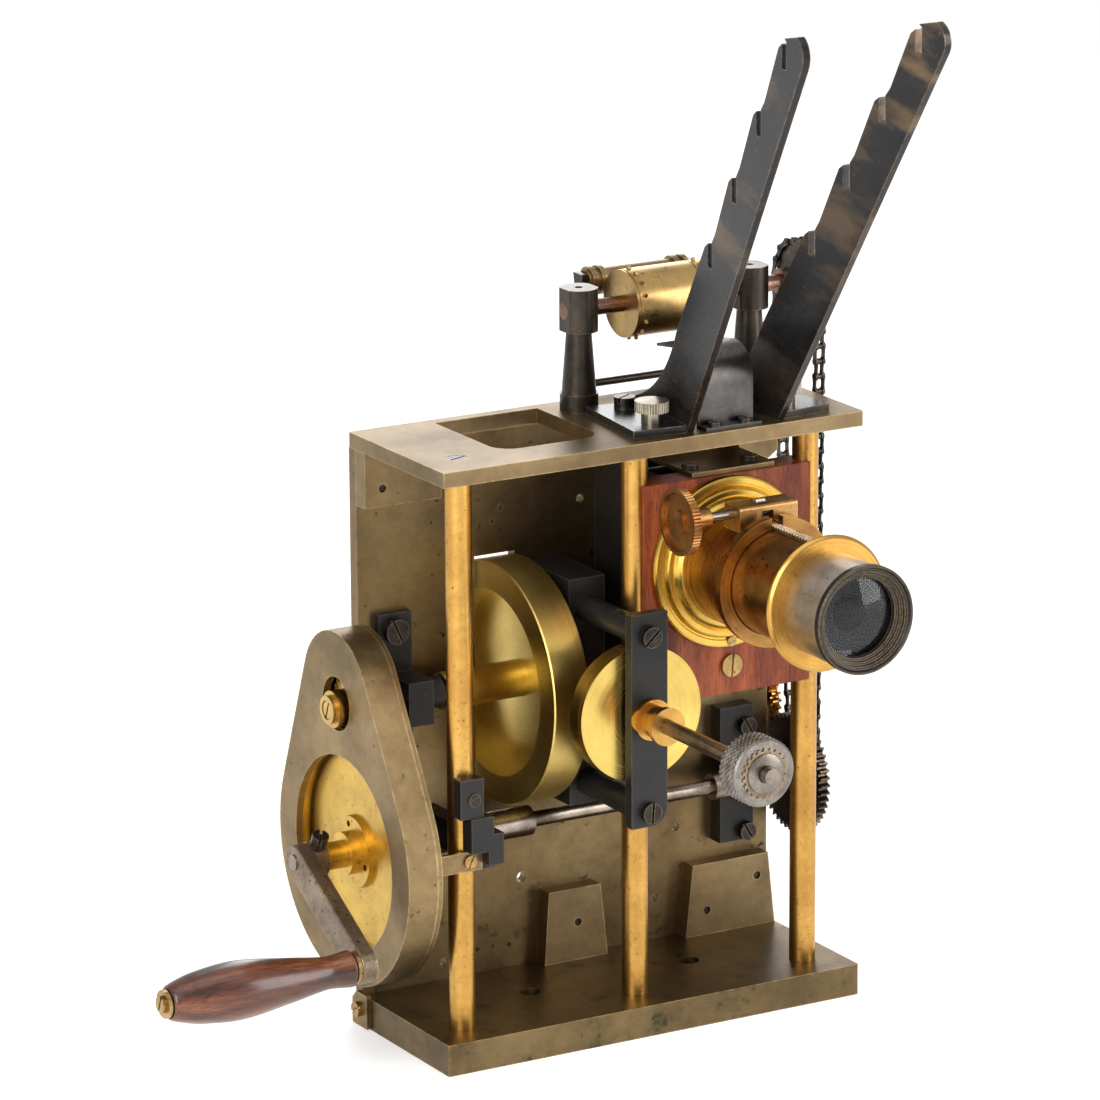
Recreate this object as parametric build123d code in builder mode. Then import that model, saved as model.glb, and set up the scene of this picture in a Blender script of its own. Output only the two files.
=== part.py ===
"""Hand-cranked 35 mm cinematograph mechanism: brass frame, lens, feed drum and gear train.

Millimetres, +Z up, +X towards the chain side, -Y towards the lens front.
The origin is the centre of the frame's footprint, on the underside of the base plate.
"""
from build123d import *
from math import atan2, cos, degrees, hypot, pi, radians, sin, tan
import os

os.makedirs("parts", exist_ok=True)

# ---------------------------------------------------------------- frame
frame_length = 180.0
frame_depth = 71.8
frame_height = 230.7
base_thickness = 12.2
plate_thickness = 5.0
top_thickness = 5.8
running_clearance = 0.05
seat_clearance = 0.1
free_gap = 0.4
slot_width = 0.9

left = -frame_length / 2
right = frame_length / 2
front = -frame_depth / 2
rear = frame_depth / 2
plate_front = rear - plate_thickness
top_underside = frame_height - top_thickness

post_radius = 5.0
post_inset = 17.3
post_y = front + post_inset
post_pitch = 74.9
post_xs = (left + 15.5, left + 15.5 + post_pitch, left + 15.5 + 2 * post_pitch)
post_spigot_radius = 3.0
post_spigot_length = 4.0

window_left = left + 33.6
window_length = 44.0
window_depth = 49.0
window_corner = 9.0
film_width = 35.0
film_centre = left + 126.3

# ---------------------------------------------------------------- shafts
crank_y = front + 52.5
crank_z = 74.8
crank_shaft_radius = 3.0
main_teeth = 96
pinion_teeth = 24
fly_y = front + 55.5
fly_z = 130.5
fly_shaft_radius = 3.0
main_centre_distance = hypot(fly_y - crank_y, fly_z - crank_z)
main_module = 2 * main_centre_distance / (main_teeth + pinion_teeth)
gear_backlash = 0.12

case_front = left - 15.0
case_thickness = 14.3
case_back = case_front + case_thickness
case_lower_radius = 50.5
case_upper_radius = 25.0
case_upper_y = front + 57.3
case_upper_z = 134.5
case_wall = 3.0
case_window_radius = 37.5
case_port_radius = 10.3
case_lid_thickness = 2.0
case_lid_gap = 0.0
wheel_gap = 0.8

fly_width = 15.4
fly_right = left + 66.4
fly_left = fly_right - fly_width
fly_hub_left = left + 28.5
fly_radius = 46.8
fly_rim = 11.0
fly_web = 4.0
fly_hub_radius = 7.1

bevel_module = 0.75
bevel_small_teeth = 12
bevel_large_teeth = 24
bevel_share = 0.3
bevel_backlash = 0.2

shutter_x = left + 77.5
shutter_z = fly_z
shutter_shaft_radius = 3.0
bar_front = front - 15.0
bar_width = 15.4
bar_thickness = 4.5
bar_top = 170.6
bar_bottom = 88.5
bar_screw_upper = 161.8
bar_screw_lower = 94.2
pillar_rod_radius = 5.0
yoke_front = front + 30.3
yoke_wall = 4.6
disc_radius = 25.7
disc_thickness = 8.4
nut_radius = 13.0
nut_front = front - 94.5
nut_length = 11.0

gear_x = right + 1.4
gear_width = 4.0
cross_teeth = 48
beater_teeth = 24
cross_module = 0.9375
cross_tilt = 45.0
sprocket_x = gear_x + gear_width + 2.2
chain_pitch = 5.85
upper_sprocket_teeth = 16
lower_sprocket_teeth = 8
sprocket_width = 1.5
chain_inner = 2.3
chain_plate = 0.9
chain_half_height = 1.6

# ---------------------------------------------------------------- lens
lens_x = left + 126.3
lens_z = 177.9
board_front = front + 10.3
board_thickness = 12.1
board_left = left + 90.7
board_length = 72.5
board_bottom = 126.0
board_top = 211.0
flange_thickness = 3.0
tube_radius = 20.0
jacket_inner = tube_radius + 0.3
jacket_wall = 1.9
collar_radius = jacket_inner + jacket_wall + 2.7
flange_radius = collar_radius + 8.1
jacket_front = front - 25.3
tube_wall = 1.2
rack_height = 1.8
rack_width = 3.6
rack_module = 0.6
rack_pinion_teeth = 12
focus_y = front - 13.0
nose_radius = tube_radius - 0.5
nose_collar_radius = tube_radius + 5.8
nose_collar_front = front - 60.3
nose_front = front - 85.4
glass_radius = nose_radius - 4.8

# ---------------------------------------------------------------- top works
drum_y = front + 57.5
drum_z = frame_height + 38.3
drum_radius = 12.9
drum_length = 35.0
drum_pin_pitch = 28.17
drum_pins = 16
drum_shaft_radius = 3.1
pillar_xs = (left + 90.4, left + 165.4)
pillar_head_radius = 7.3
pillar_foot_height = 6.5
arm_thickness = 3.0
arm_toe = 6.0
foot_thickness = 3.0
foot_length = 42.0
web_length = 52.0
foot_width = 23.0

# ---------------------------------------------------------------- crank
crank_arm_x = left - 36.0
crank_arm_thickness = 6.0
crank_throw = 54.6
crank_angle = 209.5
handle_length = 78.0


def east(x, y, z):
    """Sketch plane that faces +X, with its x along Y and its y along Z."""
    return Plane(origin=(x, y, z), x_dir=(0, 1, 0), z_dir=(1, 0, 0))


def west(x, y, z):
    """Sketch plane that faces -X."""
    return Plane(origin=(x, y, z), x_dir=(0, -1, 0), z_dir=(-1, 0, 0))


def south(x, y, z):
    """Sketch plane that faces -Y, with its x along X and its y along Z."""
    return Plane(origin=(x, y, z), x_dir=(1, 0, 0), z_dir=(0, -1, 0))


def north(x, y, z):
    """Sketch plane that faces +Y."""
    return Plane(origin=(x, y, z), x_dir=(-1, 0, 0), z_dir=(0, 1, 0))


def upward(x, y, z):
    """Sketch plane that faces +Z."""
    return Plane(origin=(x, y, z), x_dir=(1, 0, 0), z_dir=(0, 0, 1))


def downward(x, y, z):
    """Sketch plane that faces -Z."""
    return Plane(origin=(x, y, z), x_dir=(1, 0, 0), z_dir=(0, 0, -1))


def rod(plane, radius, length, mode=Mode.ADD):
    """Round bar from the plane, along its normal."""
    with BuildSketch(plane) as profile:
        Circle(radius)
    extrude(profile.sketch, amount=length, mode=mode)


def tube(plane, outer, inner, length):
    """Round tube from the plane, along its normal."""
    with BuildSketch(plane) as profile:
        Circle(outer)
        Circle(inner, mode=Mode.SUBTRACT)
    extrude(profile.sketch, amount=length)


def block(plane, width, height, depth, mode=Mode.ADD):
    """Rectangular bar from the plane, along its normal."""
    with BuildSketch(plane) as profile:
        Rectangle(width, height)
    extrude(profile.sketch, amount=depth, mode=mode)


def screw(plane, head_radius, head_height, shank_radius, shank_length, turn=35):
    """Slotted screw whose head sits on the plane and whose shank goes into it."""
    rod(plane, head_radius, head_height)
    if shank_length > 0:
        rod(plane, shank_radius, -shank_length)
    with BuildSketch(plane.offset(head_height)) as slot:
        Rectangle(3 * head_radius, slot_width, rotation=turn)
    extrude(slot.sketch, amount=-0.45 * head_height, mode=Mode.SUBTRACT)


def screw_hole(plane, shank_radius, depth):
    """Clearance hole for a screw, going into the plane."""
    rod(plane, shank_radius + seat_clearance, -depth, mode=Mode.SUBTRACT)


def gear_points(teeth, module, tooth_angle=0.0, scale_factor=1.0):
    """Corners of a straight-flanked gear; tooth_angle is where one tooth is centred, in degrees."""
    pitch_radius = teeth * module / 2
    tip = pitch_radius + 0.9 * module
    root = pitch_radius - 1.15 * module
    half_pitch = (0.25 - gear_backlash / 4) * pi * module
    half_tip = half_pitch - 0.9 * module * tan(radians(20))
    half_root = half_pitch + 1.15 * module * tan(radians(20))
    points = []
    for tooth in range(teeth):
        centre = radians(tooth_angle + 360 * tooth / teeth)
        for radius, half, side in (
            (root, half_root, -1), (tip, half_tip, -1), (tip, half_tip, 1), (root, half_root, 1)
        ):
            angle = centre + side * half / radius
            points.append((scale_factor * radius * cos(angle), scale_factor * radius * sin(angle)))
    return points


def gear_blank(plane, teeth, module, width, tooth_angle=0.0):
    """Spur gear from the plane, along its normal."""
    with BuildSketch(plane) as profile:
        with BuildLine():
            Polyline(*gear_points(teeth, module, tooth_angle), close=True)
        make_face()
    extrude(profile.sketch, amount=width)


def bevel_blank(plane, teeth, mate_teeth, tooth_angle):
    """Bevel gear; the plane holds its large end and its normal points to the cones' common apex."""
    apex = mate_teeth * bevel_module / 2
    lean = cos(atan2(teeth, mate_teeth))
    pitch_radius = teeth * bevel_module / 2
    root = pitch_radius - 1.15 * bevel_module / lean
    tip = pitch_radius + 0.85 * bevel_module / lean
    half_pitch = (0.25 - bevel_backlash / 4) * pi * bevel_module
    half_tip = half_pitch - 0.85 * bevel_module * tan(radians(20))
    half_root = half_pitch + 1.15 * bevel_module * tan(radians(20))
    depth = apex * bevel_share
    small_end = 1 - bevel_share
    with BuildSketch(plane) as big:
        Circle(root)
    with BuildSketch(plane.offset(depth)) as small:
        Circle(root * small_end)
    loft(sections=[big.sketch.face(), small.sketch.face()])
    for tooth in range(teeth):
        sections = []
        for height, share in ((0, 1), (depth, small_end)):
            inner = root * share - 0.5
            with BuildSketch(plane.offset(height)) as outline:
                Polygon(
                    (inner, -half_root * share), (tip * share, -half_tip * share),
                    (tip * share, half_tip * share), (inner, half_root * share),
                    rotation=tooth_angle + 360 * tooth / teeth, align=None,
                )
            sections.append(outline.sketch.face())
        loft(sections=sections, ruled=True)


def save(builder, name):
    """Label a finished piece and write its STEP file."""
    builder.part.label = name
    export_step(builder.part, f"parts/{name}.step")


# ================================================================ frame plates
base_hole_radius = 4.2
base_hole_xs = (left + 56.2, left + 126.4)
base_hole_y = front + 37.4
with BuildPart() as base_plate:
    with BuildSketch(upward(0, (front + plate_front) / 2, 0)):
        Rectangle(frame_length, plate_front - front)
    extrude(amount=base_thickness)
    chamfer(base_plate.edges().filter_by(Axis.Z), 0.5)
    for hole_x in base_hole_xs:
        rod(upward(hole_x, base_hole_y, 0), base_hole_radius, base_thickness, mode=Mode.SUBTRACT)
    for post_x in post_xs:
        screw_hole(upward(post_x, post_y, base_thickness), post_spigot_radius, post_spigot_length)
save(base_plate, "base_plate")

slot_left = fly_left - 1.0
slot_right = fly_left + fly_width + 1.0
slot_half = (fly_radius ** 2 - (plate_front - fly_y) ** 2) ** 0.5 + 1.0
gate_opening = (39.0, 46.0)
plate_holes = (
    (96.1, 193.3, 1.6), (105.3, 186.2, 1.6), (61.3, 194.6, 1.1), (57.8, 189.6, 1.0), (138.7, 55.7, 1.7),
    (129.2, 28.4, 1.6), (69.8, 47.1, 2.2), (35.4, 18.9, 1.7),
)
vertical_slot_x = left + 109.4
with BuildPart() as back_plate:
    with BuildSketch(north(0, plate_front, top_underside / 2)):
        Rectangle(frame_length, top_underside)
    extrude(amount=plate_thickness)
    with BuildSketch(north((slot_left + slot_right) / 2, plate_front, fly_z)):
        Rectangle(slot_right - slot_left, 2 * slot_half)
    extrude(amount=plate_thickness, mode=Mode.SUBTRACT)
    with BuildSketch(north(lens_x + 1.0, plate_front, lens_z)):
        RectangleRounded(gate_opening[0] - 8, gate_opening[1], 3)
    extrude(amount=plate_thickness, mode=Mode.SUBTRACT)
    with BuildSketch(north(vertical_slot_x, plate_front, 184.0)):
        Rectangle(2.2, 60.0)
    extrude(amount=plate_thickness, mode=Mode.SUBTRACT)
    for hole_x, hole_z, hole_radius in plate_holes:
        rod(north(left + hole_x, plate_front, hole_z), hole_radius, plate_thickness, mode=Mode.SUBTRACT)
save(back_plate, "back_plate")

film_slot_y = front + 40.0
film_slot_depth = 18.0
film_slot_length = 27.0
with BuildPart() as top_plate:
    with BuildSketch(upward(0, 0, top_underside)):
        Rectangle(frame_length, frame_depth)
    extrude(amount=top_thickness)
    chamfer(top_plate.edges().filter_by(Axis.Z), 0.4)
    with BuildSketch(upward(window_left + window_length / 2, plate_front - window_depth / 2, top_underside)):
        Rectangle(window_length, window_depth)
    extrude(amount=top_thickness, mode=Mode.SUBTRACT)
    window_edges = top_plate.edges().filter_by(Axis.Z).filter_by(
        lambda edge: abs(edge.center().X - window_left - window_length / 2) < window_length / 2 + 0.1
        and front + 2 < edge.center().Y < plate_front - window_depth + 0.1
    )
    fillet(window_edges, window_corner)
    with BuildSketch(upward(film_centre + 0.4, film_slot_y, top_underside)):
        RectangleRounded(film_slot_length, film_slot_depth, 2)
    extrude(amount=top_thickness, mode=Mode.SUBTRACT)
    for post_x in post_xs:
        plane = upward(post_x, post_y, frame_height)
        screw_hole(plane, 2.2, top_thickness)
        with Locations(plane):
            Cone(2.3, 4.0, 2.6, align=(Align.CENTER, Align.CENTER, Align.MAX), mode=Mode.SUBTRACT)
save(top_plate, "top_plate")

with BuildPart() as posts:
    for post_x in post_xs:
        rod(upward(post_x, post_y, base_thickness), post_radius, top_underside - base_thickness)
        rod(upward(post_x, post_y, base_thickness), post_spigot_radius, -post_spigot_length)
        rod(upward(post_x, post_y, top_underside), 2.2 + seat_clearance, -8.5, mode=Mode.SUBTRACT)
save(posts, "posts")

with BuildPart() as post_screws:
    for post_x in post_xs:
        plane = upward(post_x, post_y, frame_height - 0.1)
        with Locations(plane):
            Cone(2.2, 3.9, 2.4, align=(Align.CENTER, Align.CENTER, Align.MAX))
        rod(plane.offset(-2.4), 2.2, -8.0)
        with BuildSketch(plane):
            Rectangle(9, slot_width, rotation=20)
        extrude(amount=-1.1, mode=Mode.SUBTRACT)
save(post_screws, "post_screws")

# Trapezoid angle blocks that tie the base and the top to the back plate.
angle_depth = 7.0
low_angles = ((75.7, 103.8, 2.0, 3.2), (139.0, 179.6, 3.2, 3.2))
angle_height = 29.0
angle_screw_spots = ((90.5, 27.4), (148.6, 22.1), (171.4, 32.5), (7.4, top_underside - 14.2))
with BuildPart() as angle_blocks:
    for angle_left, angle_right, lean_left, lean_right in low_angles:
        with BuildSketch(south(left, plate_front, base_thickness)):
            Polygon(
                (angle_left, 0), (angle_right, 0), (angle_right - lean_right, angle_height),
                (angle_left + lean_left, angle_height), align=None,
            )
        extrude(amount=angle_depth)
    block(south(left + 16.2, plate_front, top_underside - 10.6), 32.4, 21.2, angle_depth)
    with BuildSketch(south(left, plate_front, top_underside)):
        Polygon((162.5, 0), (180, 0), (180, -22), (176, -25), (162.5, -20.5), align=None)
    extrude(amount=angle_depth)
    for screw_x, screw_z in angle_screw_spots:
        screw_hole(south(left + screw_x, plate_front - angle_depth, screw_z), 1.5, angle_depth - 1)
save(angle_blocks, "angle_blocks")

# ================================================================ crank gear case
case_hull = ((crank_y, crank_z, case_lower_radius), (case_upper_y, case_upper_z, case_upper_radius))


def pear(plane, inset):
    """Pear outline in a YZ plane: two circles and the tangents that join them."""
    (y0, z0, r0), (y1, z1, r1) = case_hull
    r0, r1 = r0 - inset, r1 - inset
    span = hypot(y1 - y0, z1 - z0)
    lean = atan2(z1 - z0, y1 - y0)
    spread = atan2((span ** 2 - (r0 - r1) ** 2) ** 0.5, r0 - r1)
    a, b = lean + spread, lean - spread
    low_a = (y0 + r0 * cos(a), z0 + r0 * sin(a))
    low_b = (y0 + r0 * cos(b), z0 + r0 * sin(b))
    high_a = (y1 + r1 * cos(a), z1 + r1 * sin(a))
    high_b = (y1 + r1 * cos(b), z1 + r1 * sin(b))
    low_mid = (y0 - r0 * cos(lean), z0 - r0 * sin(lean))
    high_mid = (y1 + r1 * cos(lean), z1 + r1 * sin(lean))
    with BuildSketch(plane) as outline:
        with BuildLine():
            ThreePointArc(low_a, low_mid, low_b)
            Line(low_b, high_b)
            ThreePointArc(high_b, high_mid, high_a)
            Line(high_a, low_a)
        make_face()
    return outline.sketch


case_port_y = fly_y + 1.0
case_port_z = fly_z + 1.5
with BuildPart() as case_shell:
    extrude(pear(east(case_front, 0, 0), 0), amount=case_thickness - case_lid_thickness)
    extrude(
        pear(east(case_front + case_wall, 0, 0), case_wall), amount=case_thickness - case_lid_thickness - case_wall,
        mode=Mode.SUBTRACT,
    )
    rod(east(case_front, crank_y, crank_z), case_window_radius, case_wall, mode=Mode.SUBTRACT)
    rod(east(case_front, case_port_y, case_port_z), case_port_radius, case_wall, mode=Mode.SUBTRACT)
save(case_shell, "case_shell")

with BuildPart() as case_lid:
    extrude(pear(east(case_back - case_lid_thickness, 0, 0), 0), amount=case_lid_thickness)
    for shaft_y, shaft_z, radius in ((crank_y, crank_z, crank_shaft_radius), (fly_y, fly_z, fly_shaft_radius)):
        rod(
            east(case_back - case_lid_thickness, shaft_y, shaft_z),
            radius + running_clearance, case_lid_thickness, mode=Mode.SUBTRACT,
        )
save(case_lid, "case_lid")

strap_z = crank_z + 3.4
strap_thickness = 1.6
strap_front = post_y - post_radius - strap_thickness
strap_length = post_xs[0] + post_radius + 0.3 - case_back
tie_y = front + 66.0
tie_z = 7.0
with BuildPart() as brass_straps:
    block(
        south(case_back + strap_length / 2, post_y - post_radius, strap_z), strap_length, 7.6, strap_thickness,
    )
    screw_hole(south(post_xs[0], strap_front, strap_z), 1.5, strap_thickness)
    with BuildSketch(west(left, tie_y, tie_z)):
        Polygon((-5.6, -6.6), (5.6, -6.6), (5.6, 6.6), (-2.5, 6.6), (-5.6, 3.4), align=None)
    extrude(amount=1.8)
    screw_hole(west(left - 1.8, tie_y + 0.5, tie_z), 1.5, 1.8)
save(brass_straps, "brass_straps")

# ================================================================ crank, main wheel and cross shaft
hub_front = case_front - 8.5
wheel_left = case_front + case_wall + 1.2
wheel_width = 3.2
mesh_angle = degrees(atan2(fly_z - crank_z, fly_y - crank_y))
main_pitch_radius = main_teeth * main_module / 2
flange_start = case_front + 3.5
flange_turns = (78, 198, 318)
with BuildPart() as main_wheel:
    gear_blank(east(wheel_left, crank_y, crank_z), main_teeth, main_module, wheel_width, mesh_angle)
    rod(east(wheel_left, crank_y, crank_z), main_pitch_radius - 5.0, 1.3, mode=Mode.SUBTRACT)
    rod(east(flange_start, crank_y, crank_z), 13.8, wheel_left + wheel_width + 1.2 - flange_start)
    rod(west(flange_start, crank_y, crank_z), 8.2, 4.0)
    rod(west(flange_start - 4.0, crank_y, crank_z), 5.2, flange_start - 4.0 - hub_front)
    for turn in flange_turns:
        angle = radians(turn)
        rod(
            east(flange_start, crank_y + 10.8 * cos(angle), crank_z + 10.8 * sin(angle)), 1.2, 2.5,
            mode=Mode.SUBTRACT,
        )
    rod(east(hub_front, crank_y, crank_z), crank_shaft_radius, 25.0, mode=Mode.SUBTRACT)
save(main_wheel, "main_wheel")

shaft_left = crank_arm_x - 0.5
sleeve_left = left + 46.7
with BuildPart() as crank_shaft:
    rod(east(shaft_left, crank_y, crank_z), crank_shaft_radius, sprocket_x + sprocket_width + 4.0 - shaft_left)
    rod(east(sleeve_left, crank_y, crank_z), 5.8, 18.0)
    rod(east(left + 145.5, crank_y, crank_z), 5.2, 7.6)
save(crank_shaft, "crank_shaft")

arm_dir = radians(crank_angle)
arm_end_y = crank_y + crank_throw * cos(arm_dir)
arm_end_z = crank_z + crank_throw * sin(arm_dir)
arm_head = 6.5
arm_boss_radius = 6.8
arm_boss_length = 6.0
with BuildPart() as crank_arm:
    with BuildSketch(east(crank_arm_x, crank_y, crank_z)):
        with Locations((crank_throw / 2 * cos(arm_dir), crank_throw / 2 * sin(arm_dir))):
            SlotCenterToCenter(crank_throw, 2 * arm_head, rotation=crank_angle)
    extrude(amount=crank_arm_thickness)
    rod(east(crank_arm_x + crank_arm_thickness, crank_y, crank_z), arm_boss_radius, arm_boss_length)
    rod(
        east(crank_arm_x, crank_y, crank_z), crank_shaft_radius, crank_arm_thickness + arm_boss_length,
        mode=Mode.SUBTRACT,
    )
    rod(east(crank_arm_x, arm_end_y, arm_end_z), 2.5, crank_arm_thickness, mode=Mode.SUBTRACT)
    fillet(crank_arm.edges().filter_by(GeomType.LINE).group_by(Axis.X)[0], 0.6)
save(crank_arm, "crank_arm")

clamp_turn = radians(115)
clamp_plane = Plane(
    origin=(
        crank_arm_x + crank_arm_thickness + arm_boss_length / 2,
        crank_y + (arm_boss_radius + 0.2) * cos(clamp_turn), crank_z + (arm_boss_radius + 0.2) * sin(clamp_turn),
    ),
    x_dir=(1, 0, 0), z_dir=(0, cos(clamp_turn), sin(clamp_turn)),
)
with BuildPart() as crank_clamp_screw:
    screw(clamp_plane, 3.2, 4.6, 1.5, 0, turn=60)
save(crank_clamp_screw, "crank_clamp_screw")

handle_start = crank_arm_x - 2.0
handle_profile = ((0, 7.0), (3.0, 7.0), (9.0, 5.8), (24.0, 8.2), (48.0, 11.0), (66.0, 9.2), (75.0, 6.4))
with BuildPart() as handle_grip:
    with BuildSketch(Plane(origin=(handle_start, arm_end_y, arm_end_z), x_dir=(-1, 0, 0), z_dir=(0, 1, 0))):
        with BuildLine():
            inner = 2.5 + running_clearance
            Polyline((75.0, 6.4), (75.0, inner), (0, inner), (0, 7.0), (3.0, 7.0))
            Spline(*handle_profile[1:], tangents=((1, 0), (1, -0.75)))
        make_face()
    revolve(axis=Axis((handle_start, arm_end_y, arm_end_z), (-1, 0, 0)))
save(handle_grip, "handle_grip")

cap_x = handle_start - 75.0 - 0.3
with BuildPart() as handle_spindle:
    rod(west(crank_arm_x + crank_arm_thickness, arm_end_y, arm_end_z), 2.5, crank_arm_x + crank_arm_thickness - cap_x)
    tube(west(crank_arm_x, arm_end_y, arm_end_z), 6.0, 2.4, 1.6)
    rod(west(cap_x, arm_end_y, arm_end_z), 5.3, 1.4)
    screw(west(cap_x - 1.4, arm_end_y, arm_end_z), 3.2, 1.4, 1.0, 0.5, turn=70)
save(handle_spindle, "handle_spindle")

cross_pitch_radius = cross_teeth * cross_module / 2
beater_pitch_radius = beater_teeth * cross_module / 2
beater_y = crank_y + (cross_pitch_radius + beater_pitch_radius) * cos(radians(cross_tilt))
beater_z = crank_z + (cross_pitch_radius + beater_pitch_radius) * sin(radians(cross_tilt))
with BuildPart() as cross_gear:
    gear_blank(east(gear_x, crank_y, crank_z), cross_teeth, cross_module, gear_width, cross_tilt)
    rod(east(gear_x, crank_y, crank_z), crank_shaft_radius, gear_width, mode=Mode.SUBTRACT)
save(cross_gear, "cross_gear")


def sprocket_points(teeth, tooth_angle):
    """Corners of a chain wheel whose teeth reach between the chain's side plates."""
    pitch_radius = chain_pitch / (2 * sin(pi / teeth))
    root = pitch_radius - 1.5
    tip = pitch_radius + 1.1
    points = []
    for tooth in range(teeth):
        centre = tooth_angle + 360 * tooth / teeth
        for radius, share in ((root, -0.30), (tip, -0.10), (tip, 0.10), (root, 0.30)):
            angle = radians(centre + share * 360 / teeth)
            points.append((radius * cos(angle), radius * sin(angle)))
    return points


def sprocket(plane, teeth, tooth_angle, bore):
    """Chain wheel centred on the plane, with a small boss."""
    with BuildSketch(plane.offset(-sprocket_width / 2)) as profile:
        with BuildLine():
            Polyline(*sprocket_points(teeth, tooth_angle), close=True)
        make_face()
        Circle(bore, mode=Mode.SUBTRACT)
    extrude(profile.sketch, amount=sprocket_width)


lower_sprocket_radius = chain_pitch / (2 * sin(pi / lower_sprocket_teeth))
upper_sprocket_radius = chain_pitch / (2 * sin(pi / upper_sprocket_teeth))
with BuildPart() as lower_sprocket:
    sprocket(east(sprocket_x, crank_y, crank_z), lower_sprocket_teeth, 22.5, crank_shaft_radius)
save(lower_sprocket, "lower_sprocket")

# ================================================================ chain
chain_span = hypot(drum_y - crank_y, drum_z - crank_z)
chain_lean = atan2(drum_z - crank_z, drum_y - crank_y)


def chain_loop(plane, offset_out):
    """Closed outline that runs round both sprockets at their pitch radius plus an offset."""
    r0 = lower_sprocket_radius + offset_out
    r1 = upper_sprocket_radius + offset_out
    spread = atan2((chain_span ** 2 - (r0 - r1) ** 2) ** 0.5, r0 - r1)
    a, b = chain_lean + spread, chain_lean - spread
    low_a = (crank_y + r0 * cos(a), crank_z + r0 * sin(a))
    low_b = (crank_y + r0 * cos(b), crank_z + r0 * sin(b))
    high_a = (drum_y + r1 * cos(a), drum_z + r1 * sin(a))
    high_b = (drum_y + r1 * cos(b), drum_z + r1 * sin(b))
    low_mid = (crank_y - r0 * cos(chain_lean), crank_z - r0 * sin(chain_lean))
    high_mid = (drum_y + r1 * cos(chain_lean), drum_z + r1 * sin(chain_lean))
    with BuildSketch(plane) as outline:
        with BuildLine():
            ThreePointArc(low_a, low_mid, low_b)
            Line(low_b, high_b)
            ThreePointArc(high_b, high_mid, high_a)
            Line(high_a, low_a)
        make_face()
    return outline.sketch


with BuildPart() as drive_chain:
    for side in (-chain_inner / 2 - chain_plate, chain_inner / 2):
        plane = east(sprocket_x + side, 0, 0)
        extrude(chain_loop(plane, chain_half_height), amount=chain_plate)
        extrude(chain_loop(plane, -chain_half_height), amount=chain_plate, mode=Mode.SUBTRACT)
save(drive_chain, "drive_chain")

# ================================================================ flywheel
bevel_small_x = shutter_x - bevel_large_teeth * bevel_module / 2
with BuildPart() as flywheel:
    rod(east(fly_left, fly_y, fly_z), fly_radius, fly_width)
    with BuildSketch(east(fly_left, fly_y, fly_z)):
        Circle(fly_radius - fly_rim)
        Circle(fly_hub_radius, mode=Mode.SUBTRACT)
    extrude(amount=fly_width - fly_web, mode=Mode.SUBTRACT)
    chamfer(flywheel.edges().filter_by(GeomType.CIRCLE).filter_by(lambda e: e.radius > fly_radius - 0.1), 0.5)
    rod(west(fly_left, fly_y, fly_z), fly_hub_radius, fly_left - fly_hub_left)
    rod(east(fly_hub_left, fly_y, fly_z), fly_shaft_radius, fly_right - fly_hub_left, mode=Mode.SUBTRACT)
save(flywheel, "flywheel")

pinion_nose = case_front - 4.6
with BuildPart() as flywheel_shaft:
    rod(east(pinion_nose + 2.0, fly_y, fly_z), fly_shaft_radius, bevel_small_x + 1.4 - pinion_nose - 2.0)
    bevel_blank(east(bevel_small_x, fly_y, fly_z), bevel_small_teeth, bevel_large_teeth, 180.0)
    rod(east(bevel_small_x - 1.6, fly_y, fly_z), 4.0, 1.6)
save(flywheel_shaft, "flywheel_shaft")

with BuildPart() as drive_pinion:
    gear_blank(
        east(wheel_left - 0.4, fly_y, fly_z), pinion_teeth, main_module, wheel_width + 0.8,
        mesh_angle + 180 + 180 / pinion_teeth,
    )
    rod(east(pinion_nose + 2.0, fly_y, fly_z), 7.0, wheel_left - pinion_nose - 2.0)
    rod(
        east(pinion_nose + 2.0, fly_y, fly_z), fly_shaft_radius, wheel_left + wheel_width + 2 - pinion_nose,
        mode=Mode.SUBTRACT,
    )
    tube(east(pinion_nose, fly_y, fly_z), 5.4, 3.6, 2.0)
    screw(west(pinion_nose + 2.0, fly_y, fly_z), 3.3, 1.7, 1.0, 0, turn=70)
save(drive_pinion, "drive_pinion")

bearing_block_x = left + 10.6
bearing_block_width = 10.6
bearing_block_front = front + 47.0
strap_plate = 3.5
strap_screw_x = left + 13.4
bearing_screw_zs = (103.0, 154.5)
with BuildPart() as flywheel_bearing:
    block(
        north(bearing_block_x + bearing_block_width / 2, bearing_block_front, fly_z - 1.0),
        bearing_block_width, 17.0, plate_front - bearing_block_front - strap_plate,
    )
    block(north(bearing_block_x + 3.4, plate_front - strap_plate, 128.0), 14.0, 66.0, strap_plate)
    rod(east(bearing_block_x + bearing_block_width, fly_y, fly_z), 6.0, 6.4)
    rod(
        east(bearing_block_x, fly_y, fly_z), fly_shaft_radius + running_clearance,
        bearing_block_width + 6.4, mode=Mode.SUBTRACT,
    )
    for screw_z in bearing_screw_zs:
        screw_hole(south(strap_screw_x, plate_front - strap_plate, screw_z), 2.0, strap_plate)
save(flywheel_bearing, "flywheel_bearing")

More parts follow.
